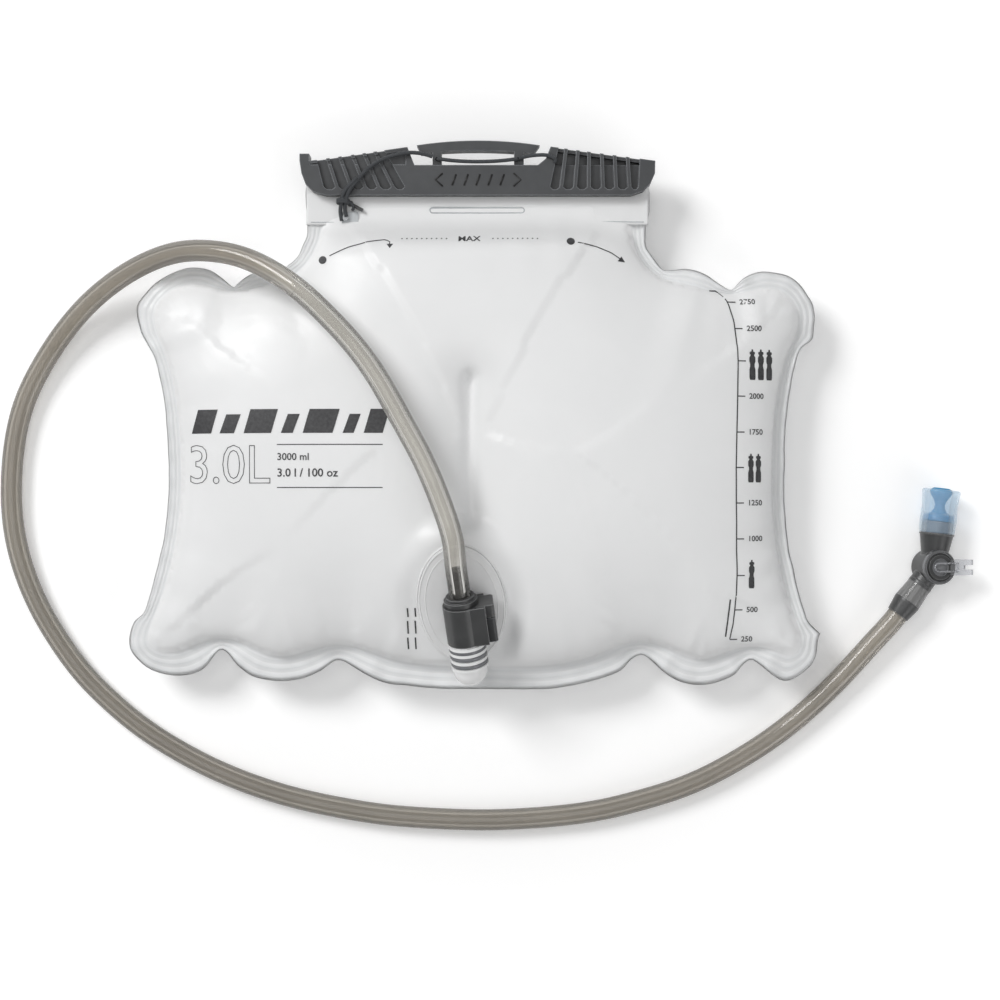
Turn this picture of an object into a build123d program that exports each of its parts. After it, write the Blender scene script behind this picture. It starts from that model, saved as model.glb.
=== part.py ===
from build123d import *
import math
import os

# Hydration bladder with slide-top closure, quick-release port plug, drinking
# hose and bite valve. Millimetres, +Z up. The filled bladder lies flat on its
# back: the origin is the middle of the flat back face, +X to the right, +Y
# towards the slide closure at the top of the bladder, +Z out of its front.

# ------------------------------------------------------------ dimensions
FILM_T = 0.6            # thickness of each film ply in the weld flange
WALL_T = 0.8            # thickness of the domed film walls
SEAM_Z = 21.0           # height of the weld plane
TOP_Z = 50.0            # highest plane of the filled bladder
BAND = 6.5              # width of the perimeter weld band
BAND_BOTTOM = 11.0      # width of the weld band along the bottom edge
BOTTOM_Y = -98.0        # bottom edge of the film
SMOOTHING = 3.0         # smoothing length of the weld line
FINE_POINTS = 300       # points on the weld line while it is smoothed
DOME_POINTS = 48        # points on each ring of a dome

FLAT_MID = (0.0, 4.0)           # middle of the flat plateau of the filled bladder
FLAT_X, FLAT_Y = 98.0, 47.0     # half widths of the plateau
FLAT_D = 44.0                   # nominal distance from the weld line to the plateau

# Dome sections: nominal distance in from the weld line, z
TOP_PROFILE = [(0.0, SEAM_Z), (2.4, 30.5), (10.0, 40.0), (24.0, 47.0), (FLAT_D, TOP_Z)]
BACK_PROFILE = [(0.0, SEAM_Z), (3.0, 10.5), (10.0, 3.6), (25.0, 0.0)]

BAFFLE_X = -3.2
BAFFLE_WINDOWS_Y = (-8.0, 13.5, 35.0)

HEADER_HALF = 80.2      # half width of the folded header
HEADER_T = 0.65         # thickness of the header film
FOLD_Y, FOLD_Z = 142.5, 22.2    # axis of the header fold
FOLD_R = 2.5            # outer radius of the fold

SLIDE_Z0, SLIDE_Z1 = 16.2, 28.0     # slide closure, back and front faces
CAV_Z0, CAV_Z1 = 19.55, 24.85       # cavity inside the slide
MOUTH_Z1 = 22.55                    # upper edge of the slide mouth
CAV_Y1 = 145.15                     # end of the cavity
CAV_X0 = -81.0                      # closed left end of the cavity
SLIDE_Y0 = 132.7                    # edge the film goes in at
RIB_DEPTH = 2.4                     # depth of the finger pockets
RECESS_DEPTH = 0.8                  # depth of the recesses above the ribs

CORD_R = 0.75
CORD_HOLES_X = (-18.8, 19.4)        # cord holes in the handle posts
CORD_HOLES_Y = 149.8

HOSE_R = 5.0                # hose outer radius
HOSE_BORE = 3.175           # hose inner radius (6.35 mm bore)
SOCKET_R = HOSE_R + 0.15    # bore of the fittings around the hose
HOSE_STEP = 16.0            # spacing of the hose loft sections

PORT_START = Vector(-3.0, -86.9, 38.0)
PORT_AXIS = Vector(-0.125, 0.918, 0.375).normalized()
FLANGE_DROP = 11.0                  # port axis to film face of the flange
FLANGE_A, FLANGE_B = 20.0, 29.4     # half axes of the oval flange
FLANGE_S = 28.0                     # flange centre along the port axis
LAND = 0.9                          # extra film land around the flange
INLET_Z, INLET_R = 4.2, 2.6         # hole from the film into the port
LATCH_Z = 19.5                      # latch groove along the port axis
BUTTON_MID_Z = 20.35
BUTTON_SPRING_Z = 20.5
STEM_RINGS_Z = (14.0, 18.0)

GLAND_START = Vector(199.48, -63.77, 9.5)       # hose end of the bite valve fitting
VALVE_MID = Vector(216.14, -41.21, 10.0)        # centre of the shut-off housing
MOUTH_AXIS = Vector(0.113, 0.9936, 0.0).normalized()
LEVER_TILT = math.radians(15.0)     # tilt of the lever axis from vertical
ROTOR_R = 5.5                       # shut-off rotor radius
ROTOR_GAP = 0.06
ROTOR_RINGS_Z = (-3.6, 3.9)
SWIVEL_RING_Z = 20.2
WATER_R = 2.0                       # water passages of the plug, elbow and rotor

# Perimeter of the welded film blank, x, y: from the left of the neck, down the
# left side, along the bottom, up the right side and back to the neck.
OUTLINE = [
    (-80.5, 137.1), (-80.5, 129.1), (-79.8, 123.9), (-79.8, 119.3), (-80.0, 114.6), (-81.9, 110.3),
    (-84.2, 105.2), (-88.0, 101.4), (-92.2, 98.6), (-96.9, 99.1), (-102.1, 98.1), (-107.7, 95.8),
    (-113.4, 91.5), (-114.8, 90.6), (-119.9, 94.8), (-125.6, 98.6), (-133.3, 100.0), (-139.2, 99.1),
    (-148.6, 94.8), (-155.8, 88.4), (-160.3, 80.7), (-158.2, 70.0), (-154.9, 63.8), (-151.5, 57.7),
    (-148.7, 46.9), (-146.2, 31.4), (-144.9, 0.0), (-146.7, -23.5), (-149.5, -37.6), (-153.3, -52.8),
    (-156.3, -62.0), (-161.2, -66.7), (-163.6, -75.1), (-161.2, -82.6), (-152.3, -89.7),
    (-139.6, -92.0), (-128.8, -88.8), (-120.4, -79.8), (-111.9, -87.8), (-104.7, -92.5),
    (-94.1, -94.4), (-83.3, -93.4), (-73.9, -89.7), (-65.0, -84.5), (-54.2, -90.2), (-43.9, -95.1),
    (-31.7, -96.7), (-17.1, -98.0), (6.4, -98.1), (30.3, -98.1), (42.3, -96.7), (54.3, -94.1),
    (66.3, -89.9), (72.1, -84.5), (77.0, -82.1), (81.8, -85.0), (87.8, -90.5), (95.0, -94.7),
    (103.4, -96.4), (111.8, -95.3), (120.2, -91.6), (125.0, -86.4), (128.7, -84.4), (133.3, -87.3),
    (138.1, -91.3), (144.1, -94.4), (150.0, -92.5), (156.2, -87.6), (159.2, -82.2), (160.1, -75.1),
    (161.1, -72.3), (159.8, -70.9), (155.2, -66.2), (152.9, -59.6), (150.3, -50.7), (148.5, -41.8),
    (146.3, -32.9), (144.7, -18.8), (143.9, -4.7), (144.2, 9.4), (144.2, 19.2), (145.4, 32.4),
    (147.5, 46.0), (149.6, 55.4), (151.9, 61.5), (155.7, 64.5), (157.8, 66.7), (158.3, 71.6),
    (158.7, 77.0), (157.8, 82.6), (155.2, 86.9), (151.5, 92.2), (145.4, 96.2), (136.9, 97.8),
    (131.0, 97.5), (125.1, 94.8), (122.3, 92.2), (119.1, 89.2), (113.9, 91.7), (108.2, 95.7),
    (102.3, 98.2), (97.3, 99.1), (92.6, 98.6), (87.9, 98.6), (84.8, 101.5), (81.7, 105.8),
    (79.3, 109.7), (79.0, 113.6), (79.2, 119.4), (80.1, 123.3), (80.9, 126.4), (81.0, 133.3),
]
NECK_TOP = [(80.5, 141.5), (-80.3, 141.5)]      # closes the blank, x, y

# The water space follows the outline up to the shoulders, then this line
# from right to left below the neck, x, y.
SHOULDER_Y = 107.0
SHOULDER_LINE = [(74.0, 106.0), (40.0, 112.0), (0.0, 114.0), (-40.0, 112.0), (-74.0, 106.0)]

# Slide outline, x, y: left end, insertion edge, right end, then back along the top
SLIDE_OUTLINE = [
    (-82.9, 152.1), (-82.9, 148.8), (-82.0, 143.0), (-80.1, 137.9), (-76.3, 134.2),
    (-70.5, SLIDE_Y0), (71.7, SLIDE_Y0), (77.3, 134.6), (80.8, 138.1), (82.9, 143.0),
    (83.0, 148.8), (34.2, 155.4), (32.0, 149.8), (28.3, 146.8), (-29.3, 146.8),
    (-32.6, 155.2), (-78.4, 148.7), (-78.4, 152.1),
]

# Finger ribs: x at the upper reference height, x at the foot
POCKET_FOOT_Y, POCKET_TOP_Y = 135.4, 156.4
RIB_REF_H = 12.0        # upper reference height above the foot
LEFT_RIBS = [
    (-75.3, -72.4), (-69.1, -65.4), (-63.1, -58.9), (-56.8, -52.3), (-50.9, -46.0), (-45.1, -39.3),
    (-39.3, -33.0),
]
RIGHT_RIBS = [
    (35.6, 33.2), (40.6, 39.2), (46.5, 45.6), (52.1, 52.1), (58.2, 58.6), (64.2, 64.7), (70.3, 71.0),
    (76.5, 75.9),
]
# Recesses above the ribs, left and right, x, y
RECESSES = [
    [(-78.0, 147.0), (-33.4, 147.0), (-33.4, 153.3), (-78.0, 147.4)],
    [(34.5, 149.0), (34.9, 153.7), (81.0, 147.4), (81.0, 147.0), (34.0, 147.0)],
]

# Centre lines of the tether cord and of the cord between the posts, x, y, z
TETHER_PATH = [
    (-61.8, 125.0, 25.0), (-62.4, 128.5, 27.2), (-60.4, 134.0, 29.8), (-57.1, 138.0, 30.2),
    (-51.4, 144.2, 30.2), (-44.3, 148.9, 30.2), (-37.3, 151.3, 30.2), (-30.0, 152.2, 30.0),
    (-24.5, 151.6, 29.6), (-20.4, 150.5, 28.9),
]
LOOP_PATH = [
    (-18.0, 149.6, 27.8), (-9.0, 148.6, 27.9), (0.4, 148.3, 28.0), (9.0, 148.6, 27.9),
    (18.6, 149.6, 27.8),
]

# Centre line of the drinking hose between the plug and the bite valve, x, y, z
HOSE = [
    (-10.7, -27.7, 61), (-14.3, -15.2, 62.7), (-18.7, -3.5, 64), (-25.0, 10.6, 65), (-32.3, 24.1, 65),
    (-39.0, 36.3, 64.9), (-46.4, 48.6, 64), (-56.0, 61.4, 62.3), (-66.8, 73.1, 60),
    (-79.7, 85.2, 56.5), (-94.0, 95.2, 52), (-109.2, 102.2, 46.3), (-125.2, 105.4, 40),
    (-139.2, 105.4, 33), (-153.0, 102.1, 26), (-168.3, 95.1, 18.6), (-183.1, 84.7, 12.5),
    (-196.3, 71.0, 8.5), (-207.7, 54.6, 6), (-216.0, 37.8, 5.2), (-220.6, 20.0, 5), (-222.4, 3.0, 5),
    (-222.3, -14.2, 5), (-219.9, -30.9, 5), (-215.1, -47.0, 5), (-208.0, -62.8, 5),
    (-198.9, -77.9, 5), (-188.2, -92.2, 5), (-175.5, -105.1, 5), (-161.0, -117.2, 5),
    (-145.1, -127.6, 5), (-126.8, -137.3, 5), (-107.8, -145.1, 5), (-86.7, -151.6, 5),
    (-65.4, -156.2, 5), (-44.3, -159.5, 5), (-22.7, -161.2, 5), (-1.3, -162.0, 5), (20.0, -161.5, 5),
    (39.2, -160.0, 5), (57.8, -157.4, 5), (78.8, -152.3, 5), (100.0, -145.4, 5), (118.9, -136.3, 5),
    (137.0, -125.2, 5), (152.3, -113.6, 5.3), (166.3, -100.8, 6.0), (178.2, -88.2, 7.2),
    (188.9, -76.0, 8.6),
]
PLUG_STATIONS = (33.9, 38.0, 42.0, 46.0, 50.0)      # hose points along the port axis
GLAND_STATIONS = (-1.0, 3.0, 7.0, 11.0, 15.4)       # hose points along the gland axis

# Free play between hose links: index in HOSE, half gap
LINKS = [(22, 1.0), (29, 1.0), (39, 2.4), (43, 1.0)]

# ---------------------------------------------------------------- frames
# Port: local z along the port axis, local y towards the film.
# Flange: local z away from the film, local y along the port axis.
PORT_UP = (Vector(0, 0, 1) - PORT_AXIS * PORT_AXIS.Z).normalized()
PORT_SIDE = PORT_AXIS.cross(PORT_UP)
PORT = Location(Plane(origin=PORT_START, x_dir=PORT_SIDE, z_dir=PORT_AXIS))
FLANGE_MID = PORT_START + PORT_AXIS * FLANGE_S - PORT_UP * FLANGE_DROP
FLANGE = Location(Plane(origin=FLANGE_MID, x_dir=PORT_SIDE, z_dir=PORT_UP))


def level_frame(origin, axis):
    """Frame with z along the axis and x level."""
    return Location(Plane(origin=origin, x_dir=(axis.Y, -axis.X, 0), z_dir=axis))


GLAND_AXIS = (VALVE_MID - GLAND_START).normalized()
GLAND_L = (VALVE_MID - GLAND_START).length      # gland start to valve centre
GLAND = level_frame(GLAND_START, GLAND_AXIS)
MOUTH = level_frame(VALVE_MID, MOUTH_AXIS)
TILT_X, TILT_Z = math.sin(LEVER_TILT), math.cos(LEVER_TILT)
VALVE = Location(Plane(origin=VALVE_MID, x_dir=(TILT_Z, 0, -TILT_X), z_dir=(TILT_X, 0, TILT_Z)))


# --------------------------------------------------------- shape helpers
def cylinder(radius, z0, z1):
    return Pos(0, 0, z0) * Cylinder(radius, z1 - z0, align=(Align.CENTER, Align.CENTER, Align.MIN))


def ring(z, outer, inner, height):
    """Flat ring centred on height z."""
    return Pos(0, 0, z) * (Cylinder(outer, height) - Cylinder(inner, height))


def spring(outer, inner, length):
    """Tube that stands in for a coil spring."""
    return cylinder(outer, 0, length) - cylinder(inner, 0, length)


def oval(a, b, z0, z1):
    return Pos(0, 0, z0) * extrude(Ellipse(a, b), z1 - z0)


def lathe(points):
    """Turned solid from (radius, z) points."""
    return revolve(Plane.XZ * Polygon(*points, align=None), Axis.Z)


def extrude_x(section, x0, length):
    """Extrude a (y, z) section towards +X from x0."""
    plane = Plane(origin=(x0, 0, 0), x_dir=(0, 1, 0), z_dir=(1, 0, 0))
    return extrude(plane * section, length)


def spline(points):
    return Edge.make_spline([Vector(*p) for p in points])


def loft_along(edge, radius, sections, start=0.0, end=1.0):
    """Round rod along part of an edge, start and end as fractions of its length."""
    circles = []
    for k in range(sections + 1):
        t = start + (end - start) * k / sections
        tangent = edge % t
        plane = Plane(origin=edge @ t, z_dir=tangent, x_dir=(-tangent.Y, tangent.X, 0))
        circles.append((plane * Circle(radius)).wire())
    return Solid.make_loft(circles)


def inlet_hole(y):
    """Radial hole through the port wall and film, in the port frame."""
    return Pos(0, y, INLET_Z) * Rot(90, 0, 0) * Cylinder(INLET_R, 8)


# --------------------------------------------------------- plan outlines
def resample(points, count):
    """Points at equal spacing around a closed loop."""
    loop = points + [points[0]]
    lengths = [math.dist(a, b) for a, b in zip(loop, loop[1:])]
    total = sum(lengths)
    result, i, run = [], 0, 0.0
    for k in range(count):
        target = total * k / count
        while run + lengths[i] < target:
            run += lengths[i]
            i += 1
        f = (target - run) / lengths[i]
        a, b = loop[i], loop[i + 1]
        result.append((a[0] + (b[0] - a[0]) * f, a[1] + (b[1] - a[1]) * f))
    return result


def smooth(points, sigma):
    """Gaussian smoothing of an evenly spaced closed loop."""
    count = len(points)
    step = math.dist(points[0], points[1])
    reach = int(3 * sigma / step)
    offsets = range(-reach, reach + 1)
    weights = [math.exp(-0.5 * (k * step / sigma) ** 2) for k in offsets]
    total = sum(weights)
    return [
        tuple(
            sum(w * points[(i + k) % count][axis] for k, w in zip(offsets, weights)) / total
            for axis in (0, 1)
        )
        for i in range(count)
    ]


def inset_loop(points, distance):
    """Move a counter-clockwise loop inwards, which is to the left."""
    result = []
    for i, (x, y) in enumerate(points):
        ax, ay = points[i - 1]
        bx, by = points[(i + 1) % len(points)]
        tx, ty = bx - ax, by - ay
        length = math.hypot(tx, ty)
        result.append((x - ty / length * distance, y + tx / length * distance))
    return result


def weld_line():
    """Inner edge of the weld band around the water space."""
    loop = [p for p in OUTLINE if p[1] < SHOULDER_Y] + SHOULDER_LINE
    loop = inset_loop(smooth(resample(loop, FINE_POINTS), SMOOTHING), BAND)
    loop = [(x, max(y, BOTTOM_Y + BAND_BOTTOM)) for x, y in loop]
    return resample(smooth(resample(loop, FINE_POINTS), SMOOTHING), DOME_POINTS)


WELD_LINE = weld_line()


# ----------------------------------------------------------------- domes
def flat_point(x, y):
    """Point of the plateau edge in the direction of x, y."""
    dx, dy = x - FLAT_MID[0], y - FLAT_MID[1]
    k = (abs(dx / FLAT_X) ** 3 + abs(dy / FLAT_Y) ** 3) ** (-1 / 3)
    return FLAT_MID[0] + dx * k, FLAT_MID[1] + dy * k


def dome_ring(distance, z):
    """Weld line drawn in towards the plateau by a nominal distance."""
    f = distance / FLAT_D
    result = []
    for x, y in WELD_LINE:
        flat_x, flat_y = flat_point(x, y)
        result.append((x + (flat_x - x) * f, y + (flat_y - y) * f, z))
    return result


def offset_profile(profile, t):
    """Dome section moved by t into the dome, starting at the same height."""
    start_z, end_z = profile[0][1], profile[-1][1]
    side = 1 if end_z > start_z else -1
    lines = []      # point and direction of each moved segment
    for (d0, z0), (d1, z1) in zip(profile, profile[1:]):
        run, rise = d1 - d0, z1 - z0
        length = math.hypot(run, rise)
        point = (d0 + abs(rise) / length * t, z0 - side * run / length * t)
        lines.append((point, (run, rise)))

    def at_height(line, z):
        p, v = line
        return p[0] + v[0] * (z - p[1]) / v[1], z

    result = [at_height(lines[0], start_z)]
    for (p, v), (q, w) in zip(lines, lines[1:]):
        k = ((q[0] - p[0]) * w[1] - (q[1] - p[1]) * w[0]) / (v[0] * w[1] - v[1] * w[0])
        result.append((p[0] + v[0] * k, p[1] + v[1] * k))
    result.append(at_height(lines[-1], end_z - side * t))
    return result


def dome(profile):
    """Closed dome in flat triangles between its rings."""
    rows = [dome_ring(d, z) for d, z in profile]
    faces = [Face(Wire.make_polygon(row, close=True)) for row in (rows[0], rows[-1])]
    for low, high in zip(rows, rows[1:]):
        for i in range(DOME_POINTS):
            j = (i + 1) % DOME_POINTS
            faces.append(Face(Wire.make_polygon([low[i], low[j], high[j]], close=True)))
            faces.append(Face(Wire.make_polygon([low[i], high[j], high[i]], close=True)))
    solid = Solid(Shell(faces))
    # the shell may come out inside out
    return Part() + (solid if solid.volume > 0 else Solid(solid.wrapped.Reversed()))


# -------------------------------------------------------------- film body
def film_ply(z):
    blank = Face(Wire(Polyline(*OUTLINE, *NECK_TOP, close=True).edges()))
    return Pos(0, 0, z) * extrude(blank, FILM_T)


def landed_dome(profile, wall):
    """Front dome with a flat land under the flange, wall below its face."""
    a, b = FLANGE_A + LAND, FLANGE_B + LAND
    above_seam = Pos(0, 0, SEAM_Z + 200) * Box(700, 700, 400)
    land = (FLANGE * oval(a - wall, b - wall, -40, -wall)) & above_seam
    above_land = FLANGE * oval(a, b, -wall, 30)
    return (dome(profile) - above_land) + land


def front_film():
    outer = landed_dome(TOP_PROFILE, 0)
    inner = landed_dome(offset_profile(TOP_PROFILE, WALL_T), WALL_T)
    return (film_ply(SEAM_Z) + outer) - inner - PORT * inlet_hole(FLANGE_DROP)


def back_film():
    inner = dome(offset_profile(BACK_PROFILE, WALL_T))
    return (film_ply(SEAM_Z - FILM_T) + dome(BACK_PROFILE)) - inner


def centre_baffle():
    """Strap between the two films near the centre line, with flow windows."""
    mid_z = TOP_Z / 2
    baffle = Pos(BAFFLE_X, 13.55, mid_z) * Box(1.2, 66.5, TOP_Z - 2 * WALL_T)
    for y in BAFFLE_WINDOWS_Y:
        baffle -= Pos(BAFFLE_X, y, mid_z) * Box(4, 11, 22)
    return baffle


# ---------------------------------------------- folded header and its rail
def header_strip():
    front = [
        (119.8, 21.8), (131.9, 21.8), (135.4, 21.8), (138.0, 24.05), (FOLD_Y, 24.05),
        (FOLD_Y, 24.7), (137.7, 24.7), (135.15, 22.45), (119.8, 22.45),
    ]
    back = [(134.0, 19.7), (FOLD_Y, 19.7), (FOLD_Y, 20.35), (134.0, 20.35)]
    plies = Polygon(*front, align=None) + Polygon(*back, align=None)
    fold_axis = Pos(FOLD_Y, FOLD_Z)
    bend = fold_axis * Circle(FOLD_R) - fold_axis * Circle(FOLD_R - HEADER_T)
    bend &= Pos(FOLD_Y + 2.5, FOLD_Z) * Rectangle(5.0, 8.0)
    strip = extrude_x(plies + bend, -HEADER_HALF, 2 * HEADER_HALF)
    slot = Pos(-0.15, 126.4, 22.1) * extrude(SlotOverall(44.1, 2.35), 2, both=True)
    return strip - slot


def fold_rail():
    rail = Pos(0, 140.4, 22.85) * Box(2 * HEADER_HALF - 1.0, 4.0, 2.3)
    return fillet(rail.edges().filter_by(Axis.X), 0.6)


# ----------------------------------------------------------- slide closure
def pocket(left, right):
    """Slanted finger pocket between two ribs."""
    half_rib, chamfer_h = 0.85, 1.2
    foot, top = POCKET_FOOT_Y, POCKET_TOP_Y
    extra = (top - foot - RIB_REF_H) / RIB_REF_H    # ribs run on past the reference height
    left_top = left[0] + (left[0] - left[1]) * extra
    right_top = right[0] + (right[0] - right[1]) * extra
    x0, x1 = left[1] + half_rib, right[1] - half_rib
    chamfer_w = 0.22 * (right[1] - left[1])
    return Polygon((left_top + half_rib, top), (x0, foot + chamfer_h), (x0 + chamfer_w, foot),
                   (x1 - chamfer_w, foot), (x1, foot + chamfer_h), (right_top - half_rib, top),
                   align=None)


def cut_both_faces(slide, outline, depth, height):
    """Cut an outline into the front and back faces with a tool of the given height."""
    slide -= Pos(0, 0, SLIDE_Z1 - depth) * extrude(outline, height)
    slide -= Pos(0, 0, SLIDE_Z0 + depth - height) * extrude(outline, height)
    return slide


def handle_bar():
    lower_left, upper_left = Vector(-26.4, 152.4, 0), Vector(-28.3, 156.3, 0)
    lower_right, upper_right = Vector(26.4, 152.4, 0), Vector(29.2, 156.3, 0)
    outline = Wire([
        Edge.make_three_point_arc(upper_left, Vector(0.4, 158.5, 0), upper_right),
        Edge.make_line(upper_right, lower_right),
        Edge.make_three_point_arc(lower_right, Vector(0.2, 153.8, 0), lower_left),
        Edge.make_line(lower_left, upper_left),
    ])
    return Pos(0, 0, 18.6) * extrude(Face(outline), 7.6, dir=(0, 0, 1))


def slide_channel():
    body = Polygon(*SLIDE_OUTLINE, align=None)
    slide = Pos(0, 0, SLIDE_Z0) * extrude(body, SLIDE_Z1 - SLIDE_Z0)
    # C-section cavity, closed at the left end and open at the right
    cavity = Polygon((100, CAV_Z0), (CAV_Y1, CAV_Z0), (CAV_Y1, CAV_Z1), (137.6, CAV_Z1),
                     (135.0, MOUTH_Z1), (100, MOUTH_Z1), align=None)
    slide -= extrude_x(cavity, CAV_X0, 200)
    for ribs in (LEFT_RIBS, RIGHT_RIBS):
        for left, right in zip(ribs, ribs[1:]):
            slide = cut_both_faces(slide, pocket(left, right), RIB_DEPTH, RIB_DEPTH + 2)
    for points in RECESSES:
        slide = cut_both_faces(slide, Polygon(*points, align=None), RECESS_DEPTH, 5)
    # handle bar on two posts
    slide += handle_bar()
    for x0, x1 in ((-20.9, -16.7), (17.2, 21.7)):
        slide += Pos((x0 + x1) / 2, 150.0, 22.4) * Box(x1 - x0, 7.4, 7.6)
    for x in CORD_HOLES_X:
        slide -= Pos(x, CORD_HOLES_Y, 22) * Cylinder(0.95, 20)
    return slide


# ------------------------------------------------------------------- cord
def cord(points, step):
    edge = spline(points)
    return loft_along(edge, CORD_R, int(edge.length / step))


def tether_cord():
    return cord(TETHER_PATH, 2.5)


def cord_loop():
    """Cord through both posts of the handle and across between them."""
    legs = [
        Solid.make_cylinder(CORD_R, 9.6, Plane(origin=(x, CORD_HOLES_Y, 17.4)))
        for x in CORD_HOLES_X
    ]
    return legs + [cord(LOOP_PATH, 3.0)]


def cord_anchor():
    anchor = Pos(-59.6, 122.4, 22.95) * Box(7.6, 6.4, 1.0)
    return anchor + Pos(-61.8, 122.6, 24.2) * Cylinder(1.4, 2.0)


def cord_toggle():
    frame = Location(Plane(origin=(-59.4, 129.2, 24.4), z_dir=(0.88, -0.47, 0)))
    return frame * lathe([(0, -1.5), (0.9, -1.2), (1.45, -0.4), (1.45, 0.4), (0.9, 1.2),
                          (0.8, 1.4), (0.8, 6.6), (0, 6.6)])


# --------------------------------------------------------------- port base
def port_base():
    # barrel with a rounded start, trimmed flat
    port = (cylinder(8.1, 0, 14.0) + Sphere(8.1)) & (Pos(0, 0, 3) * Box(30, 30, 23))
    for z in (2.2, 6.0, 9.8, 12.8):     # grip rings
        port += Pos(0, 0, z) * Cylinder(8.75, 1.4)
    port += cylinder(7.0, 14, 24)
    # web down to the oval flange
    flange_t = 1.6
    web_h = FLANGE_DROP - flange_t
    port += Pos(0, web_h / 2, 6.0) * Box(12.0, web_h, 14.0)
    port += PORT.inverse() * FLANGE * oval(FLANGE_A, FLANGE_B, 0, flange_t)
    port -= cylinder(5.5, -3.9, 36.1)
    port += cylinder(5.6, 8.0, 9.2) - cylinder(3.6, 7, 11)      # poppet seat
    port -= inlet_hole(8.0)
    port -= ring(LATCH_Z, outer=8.0, inner=6.3, height=1.3)
    return PORT * port


def port_poppet():
    poppet = cylinder(4.6, 4.0, 5.0)
    poppet += cylinder(1.0, 4.9, 9.5)
    poppet += cylinder(1.2, 2.2, 4.1)
    return PORT * poppet


def poppet_spring():
    return PORT * Pos(0, 0, -3.85) * spring(outer=2.5, inner=2.0, length=7.8)


# --------------------------------------------------------------------- plug
def plug_housing():
    boss = Pos(10.5, 0, 29.9) * Box(8.4, 11.6, 6.2)
    housing = cylinder(8.7, 14.3, 33.0) + fillet(boss.edges().filter_by(Axis.Z), 1.5)
    for side in (-1, 1):    # flat cheeks that guide the release button between them
        housing += Pos(6.2, 6.95 * side, 23.65) * Box(8.8, 2.1, 18.7)
    housing -= cylinder(7.07, 10, 34)
    housing -= Pos(10.6, 0, 28.3) * Box(4.2, 6.2, 4.2)
    housing -= Pos(0, 0, LATCH_Z) * Cylinder(8.25, 1.3)
    return PORT * housing


def release_button():
    button = Pos(11.9, 0, BUTTON_MID_Z) * Box(5.4, 11.2, 11.9)
    button = fillet(button.edges().filter_by(Axis.Z), 1.4)
    button += Pos(11.6, 0, 27.2) * Box(2.0, 6.0, 3.6)
    button -= Pos(0, 0, BUTTON_MID_Z) * Cylinder(10.8, 12.6)
    button -= Pos(11.1, 0, BUTTON_SPRING_Z) * Rot(0, 90, 0) * Cylinder(1.7, 4.0)
    return PORT * button


def button_spring():
    place = Pos(8.8, 0, BUTTON_SPRING_Z) * Rot(0, 90, 0)
    return PORT * place * spring(outer=1.4, inner=1.0, length=4.2)


def latch_clip():
    """Ring with a gap on the side away from the button."""
    clip = ring(LATCH_Z, outer=8.0, inner=6.45, height=1.0)
    return PORT * (clip - Pos(-8, 0, LATCH_Z) * Box(6, 5, 3))


def plug_stem():
    stem = cylinder(5.45, 9.65, 24.4) + cylinder(7.05, 24.6, 32.8)
    stem = stem + cylinder(5.45, 24.0, 25.0) + cylinder(2.7, 32.0, 50.5)
    for z in (38.5, 42.5, 46.5):        # hose barbs
        stem += Pos(0, 0, z) * Cone(3.05, 2.7, 2.6)
    stem -= cylinder(WATER_R, 9, 60)
    stem -= cylinder(3.0, 9, 14)
    stem += Pos(0, 0, 10.25) * Box(1.2, 7.0, 1.2)
    for z in STEM_RINGS_Z:
        stem -= ring(z, outer=6.0, inner=4.1, height=1.8)
    return PORT * stem


def stem_orings():
    return [PORT * Pos(0, 0, z) * Torus(4.8, 0.66) for z in STEM_RINGS_Z]


def hose_collar():
    collar = cylinder(7.75, 33.0, 35.6) + cylinder(6.6, 35.6, 37.2)
    return PORT * (collar - cylinder(SOCKET_R, 32, 40))


# --------------------------------------------------------------------- hose
def hose_links():
    """Hose in separate lengths, from the plug to the bite valve."""
    points = [PORT_START + PORT_AXIS * s for s in PLUG_STATIONS]
    points += [Vector(*p) for p in HOSE]
    points += [GLAND_START + GLAND_AXIS * s for s in GLAND_STATIONS]
    path = Edge.make_spline(points)
    samples = [(k / 2000, path @ (k / 2000)) for k in range(2001)]

    ends = [0.0]
    for index, half_gap in LINKS:
        joint = Vector(*HOSE[index])
        t = min(samples, key=lambda sample: (sample[1] - joint).length)[0]
        ends += [t - half_gap / path.length, t + half_gap / path.length]
    ends.append(1.0)

    links = []
    for start, end in zip(ends[::2], ends[1::2]):
        sections = int((end - start) * path.length / HOSE_STEP)
        rod = loft_along(path, HOSE_R, sections, start, end)
        bore = loft_along(path, HOSE_BORE, sections, start, end)
        links.append(Part() + rod - bore)
    return links


# ---------------------------------------------------------------- bite valve
def hose_gland():
    return GLAND * lathe([(SOCKET_R, 0), (5.45, 0), (6.5, 7.0), (6.5, 8.1), (SOCKET_R, 8.1)])


def clear_sleeve():
    return GLAND * lathe([(SOCKET_R, 8.1), (6.45, 8.1), (5.8, 16.0), (5.8, 16.8),
                          (SOCKET_R, 16.8)])


def valve_stem():
    stem = cylinder(2.7, 6.0, 16.0) + cylinder(4.95, 15.5, 16.8) + cylinder(4.2, 16.8, 21.4)
    for z in (8.0, 12.0):               # hose barbs
        stem += Pos(0, 0, z) * Cone(2.7, 3.05, 2.6)
    stem -= cylinder(1.9, 0, 30)
    stem -= ring(SWIVEL_RING_Z, outer=5, inner=3.3, height=1.3)
    return GLAND * stem


def swivel_oring():
    return [GLAND * Pos(0, 0, SWIVEL_RING_Z) * Torus(3.72, 0.42)]


def swivel_ring():
    return GLAND * (cylinder(5.9, 16.85, 18.6) - cylinder(4.25, 16, 19))


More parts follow.
